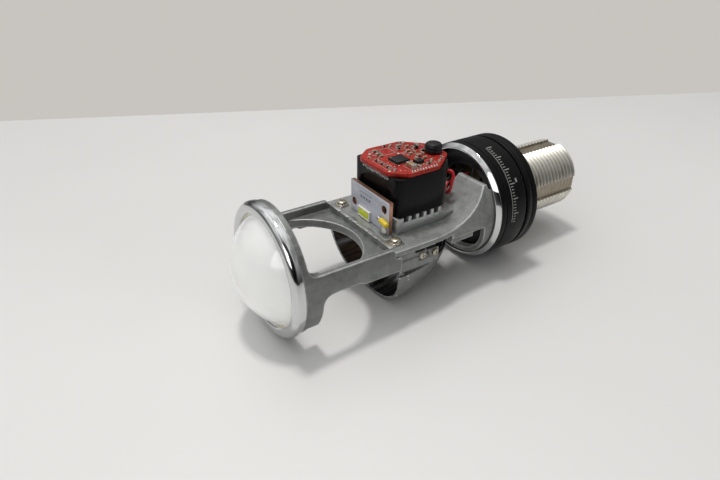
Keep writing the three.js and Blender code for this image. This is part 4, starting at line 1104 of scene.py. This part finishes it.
def make_collar_marks():
    """Graduation on the collar's near side: even ticks, each fifth one long, and an index bar."""
    bm = bmesh.new()
    radius, thickness = 23.5, 0.05

    def arc_mark(x0, x1, start, end):
        steps = max(2, int(math.degrees(end - start)))
        corners = []
        for k in range(steps + 1):
            a = start + (end - start) * k / steps
            for x, r in ((x0, radius - 0.05), (x1, radius - 0.05),
                         (x1, radius + thickness), (x0, radius + thickness)):
                place = (x * MM, -r * math.sin(a) * MM, (REAR_AXIS_Z + r * math.cos(a)) * MM)
                corners.append(bm.verts.new(place))
        for k in range(steps):
            a, b = corners[4 * k : 4 * k + 4], corners[4 * k + 4 : 4 * k + 8]
            for q in range(4):
                n = (q + 1) % 4
                bm.faces.new([a[q], a[n], b[n], b[q]])
        bm.faces.new(corners[:4])
        bm.faces.new(corners[-4:])

    first, spacing, ticks = 14, 2.8, 29
    for k in range(ticks):
        a = math.radians(first + spacing * k)
        long = k % 5 == 0
        arc_mark(93.2, 95.6 if long else 94.4, a - 0.006, a + 0.006 + 0.004 * long)
    arc_mark(92.5, 92.7, math.radians(first), math.radians(first + spacing * (ticks - 1)))
    arc_mark(96.2, 97.0, math.radians(52), math.radians(56))
    marks = from_bmesh("collar_marks", bm)
    finish_piece(marks, "black_anodised", "tail_unit", materials=[WHITE_PRINT])


make_lens()
make_bezel()
make_collar()
make_collar_rim()
make_lock_ring()
make_tail()
make_castings()
make_bowl()
make_edged_parts()
make_soft_parts()
make_shield()
make_wires()
make_glue()
make_driver_board()
make_board_chips()
make_packages()
make_small_board_parts()
make_board_pads()
make_board_print()
make_led_board_marks()
make_collar_marks()


# ---- stage


def floor_height(x):
    """The table touches the bezel in front and the collar behind."""
    front_x, front_z, rear_x, rear_z = 3.0, -24.0, 106.0, -20.5
    return front_z + (x - front_x) * (rear_z - front_z) / (rear_x - front_x)


def make_floor():
    """Pale table that ends in a straight edge behind the object."""
    edge_angle, edge_distance, reach = math.radians(-30), 234.4, 1100
    along = Vector((math.cos(edge_angle), math.sin(edge_angle)))
    away = Vector((-along.y, along.x))
    bm = bmesh.new()
    corners = []
    for side, depth in ((-1, -reach), (1, -reach), (1, edge_distance), (-1, edge_distance)):
        spot = along * (side * reach) + away * depth
        corners.append(bm.verts.new((spot.x * MM, spot.y * MM, floor_height(spot.x) * MM)))
    bm.faces.new(corners)
    floor = from_bmesh("table", bm)
    s = Shader("table_top")
    fine = s.noise(1200, 4, 0.6)
    cloud = s.noise(6, 3, 0.5)
    tone = s.ramp(cloud, (0.3, (0.72, 0.715, 0.7)), (0.7, (0.76, 0.755, 0.74)))
    floor.data.materials.append(
        s.surface(base_color=tone, roughness=0.42, normal=s.bump(fine, 0.00002, 0.4))
    )


def make_light(name, place, aim, size, power, color):
    """A rectangular lamp at a place, turned to its aim, in metres and watts."""
    data = bpy.data.lights.new(name, "AREA")
    data.shape = "RECTANGLE"
    data.size, data.size_y = size
    data.energy = power
    data.color = color
    lamp = bpy.data.objects.new(name, data)
    bpy.context.scene.collection.objects.link(lamp)
    lamp.location = place
    direction = Vector(aim) - Vector(place)
    lamp.rotation_mode = "QUATERNION"
    lamp.rotation_quaternion = direction.to_track_quat("-Z", "Y")


CAMERA_SIDE = (-0.49, -0.71, 0.51)  # where the viewer stands
LIGHT_SIDE = (-0.35, 0.72, 1.0)  # where the room is brightest
WALL_TONE = (0.578, 0.552, 0.52)  # as the camera sees it


def make_world():
    """A pale room, bright above and behind, dark where the viewer stands and at eye level."""
    world = bpy.data.worlds.new("room")
    bpy.context.scene.world = world
    s = Shader("room", world)
    direction = s.add("TexCoord").outputs["Generated"]
    height = s.add("SeparateXYZ", {"Vector": direction}).outputs["Z"]
    level = s.math("ADD", s.math("MULTIPLY", height, 0.5), 0.5)
    room = s.ramp(
        level, (0.0, 0.3), (0.49, 0.26), (0.52, 0.12), (0.6, 0.26), (0.72, 0.5), (0.9, 0.95)
    )
    patches = s.noise(2.3, 2, 0.4, vector=direction)
    room = s.mix(1.0, room, s.ramp(patches, (0.4, 0.45), (0.56, 1.15)), "MULTIPLY")
    lit = s.math("ADD", s.math("MULTIPLY", s.along(direction, LIGHT_SIDE), 0.45), 0.75)
    room = s.mix(1.0, room, lit, "MULTIPLY")
    viewer = s.math("ADD", s.along(direction, CAMERA_SIDE), s.math("MULTIPLY", patches, 0.1))
    room = s.mix(1.0, room, s.ramp(viewer, (0.8, 1.0), (0.94, 0.05)), "MULTIPLY")
    seen = s.add("LightPath").outputs["Is Camera Ray"]
    background = s.add("Background", {"Color": s.mix(seen, room, WALL_TONE)})
    s.feed(s.output.inputs["Surface"], background.outputs[0])


def make_camera():
    """The viewpoint: a direction, a distance, an aim offset and a small roll."""
    azimuth, elevation, roll = math.radians(-34.3), math.radians(30.5), math.radians(0.67)
    distance, aim_right, aim_up, focal = 192.7, 32.57, 10.63, 581.1 / 720
    flat = math.cos(elevation)
    back = Vector((math.sin(azimuth) * flat, -math.cos(azimuth) * flat, math.sin(elevation)))
    level = Vector((math.cos(azimuth), math.sin(azimuth), 0))
    upright = level.cross(-back)
    right = level * math.cos(roll) + upright * math.sin(roll)
    up = upright * math.cos(roll) - level * math.sin(roll)
    data = bpy.data.cameras.new("camera")
    data.sensor_width = 36
    data.lens = focal * data.sensor_width
    data.clip_start, data.clip_end = 0.01, 10
    camera = bpy.data.objects.new("camera", data)
    bpy.context.scene.collection.objects.link(camera)
    place = LENS_CENTRE + (back * distance + right * aim_right + up * aim_up) * MM
    rotation = Matrix((right, up, back)).transposed().to_4x4()
    camera.matrix_world = Matrix.Translation(place) @ rotation
    bpy.context.scene.camera = camera


make_floor()
make_world()
make_light("key", (-0.05, 0.15, 0.985), (0, 0, 0), (0.13, 0.11), 3.65, (1, 0.985, 0.965))
make_light("fill", (-0.55, -0.3, 0.35), (-0.03, 0, 0.02), (0.3, 0.3), 0.7, (0.97, 0.985, 1))
make_camera()
bpy.context.scene.view_settings.view_transform = "Standard"
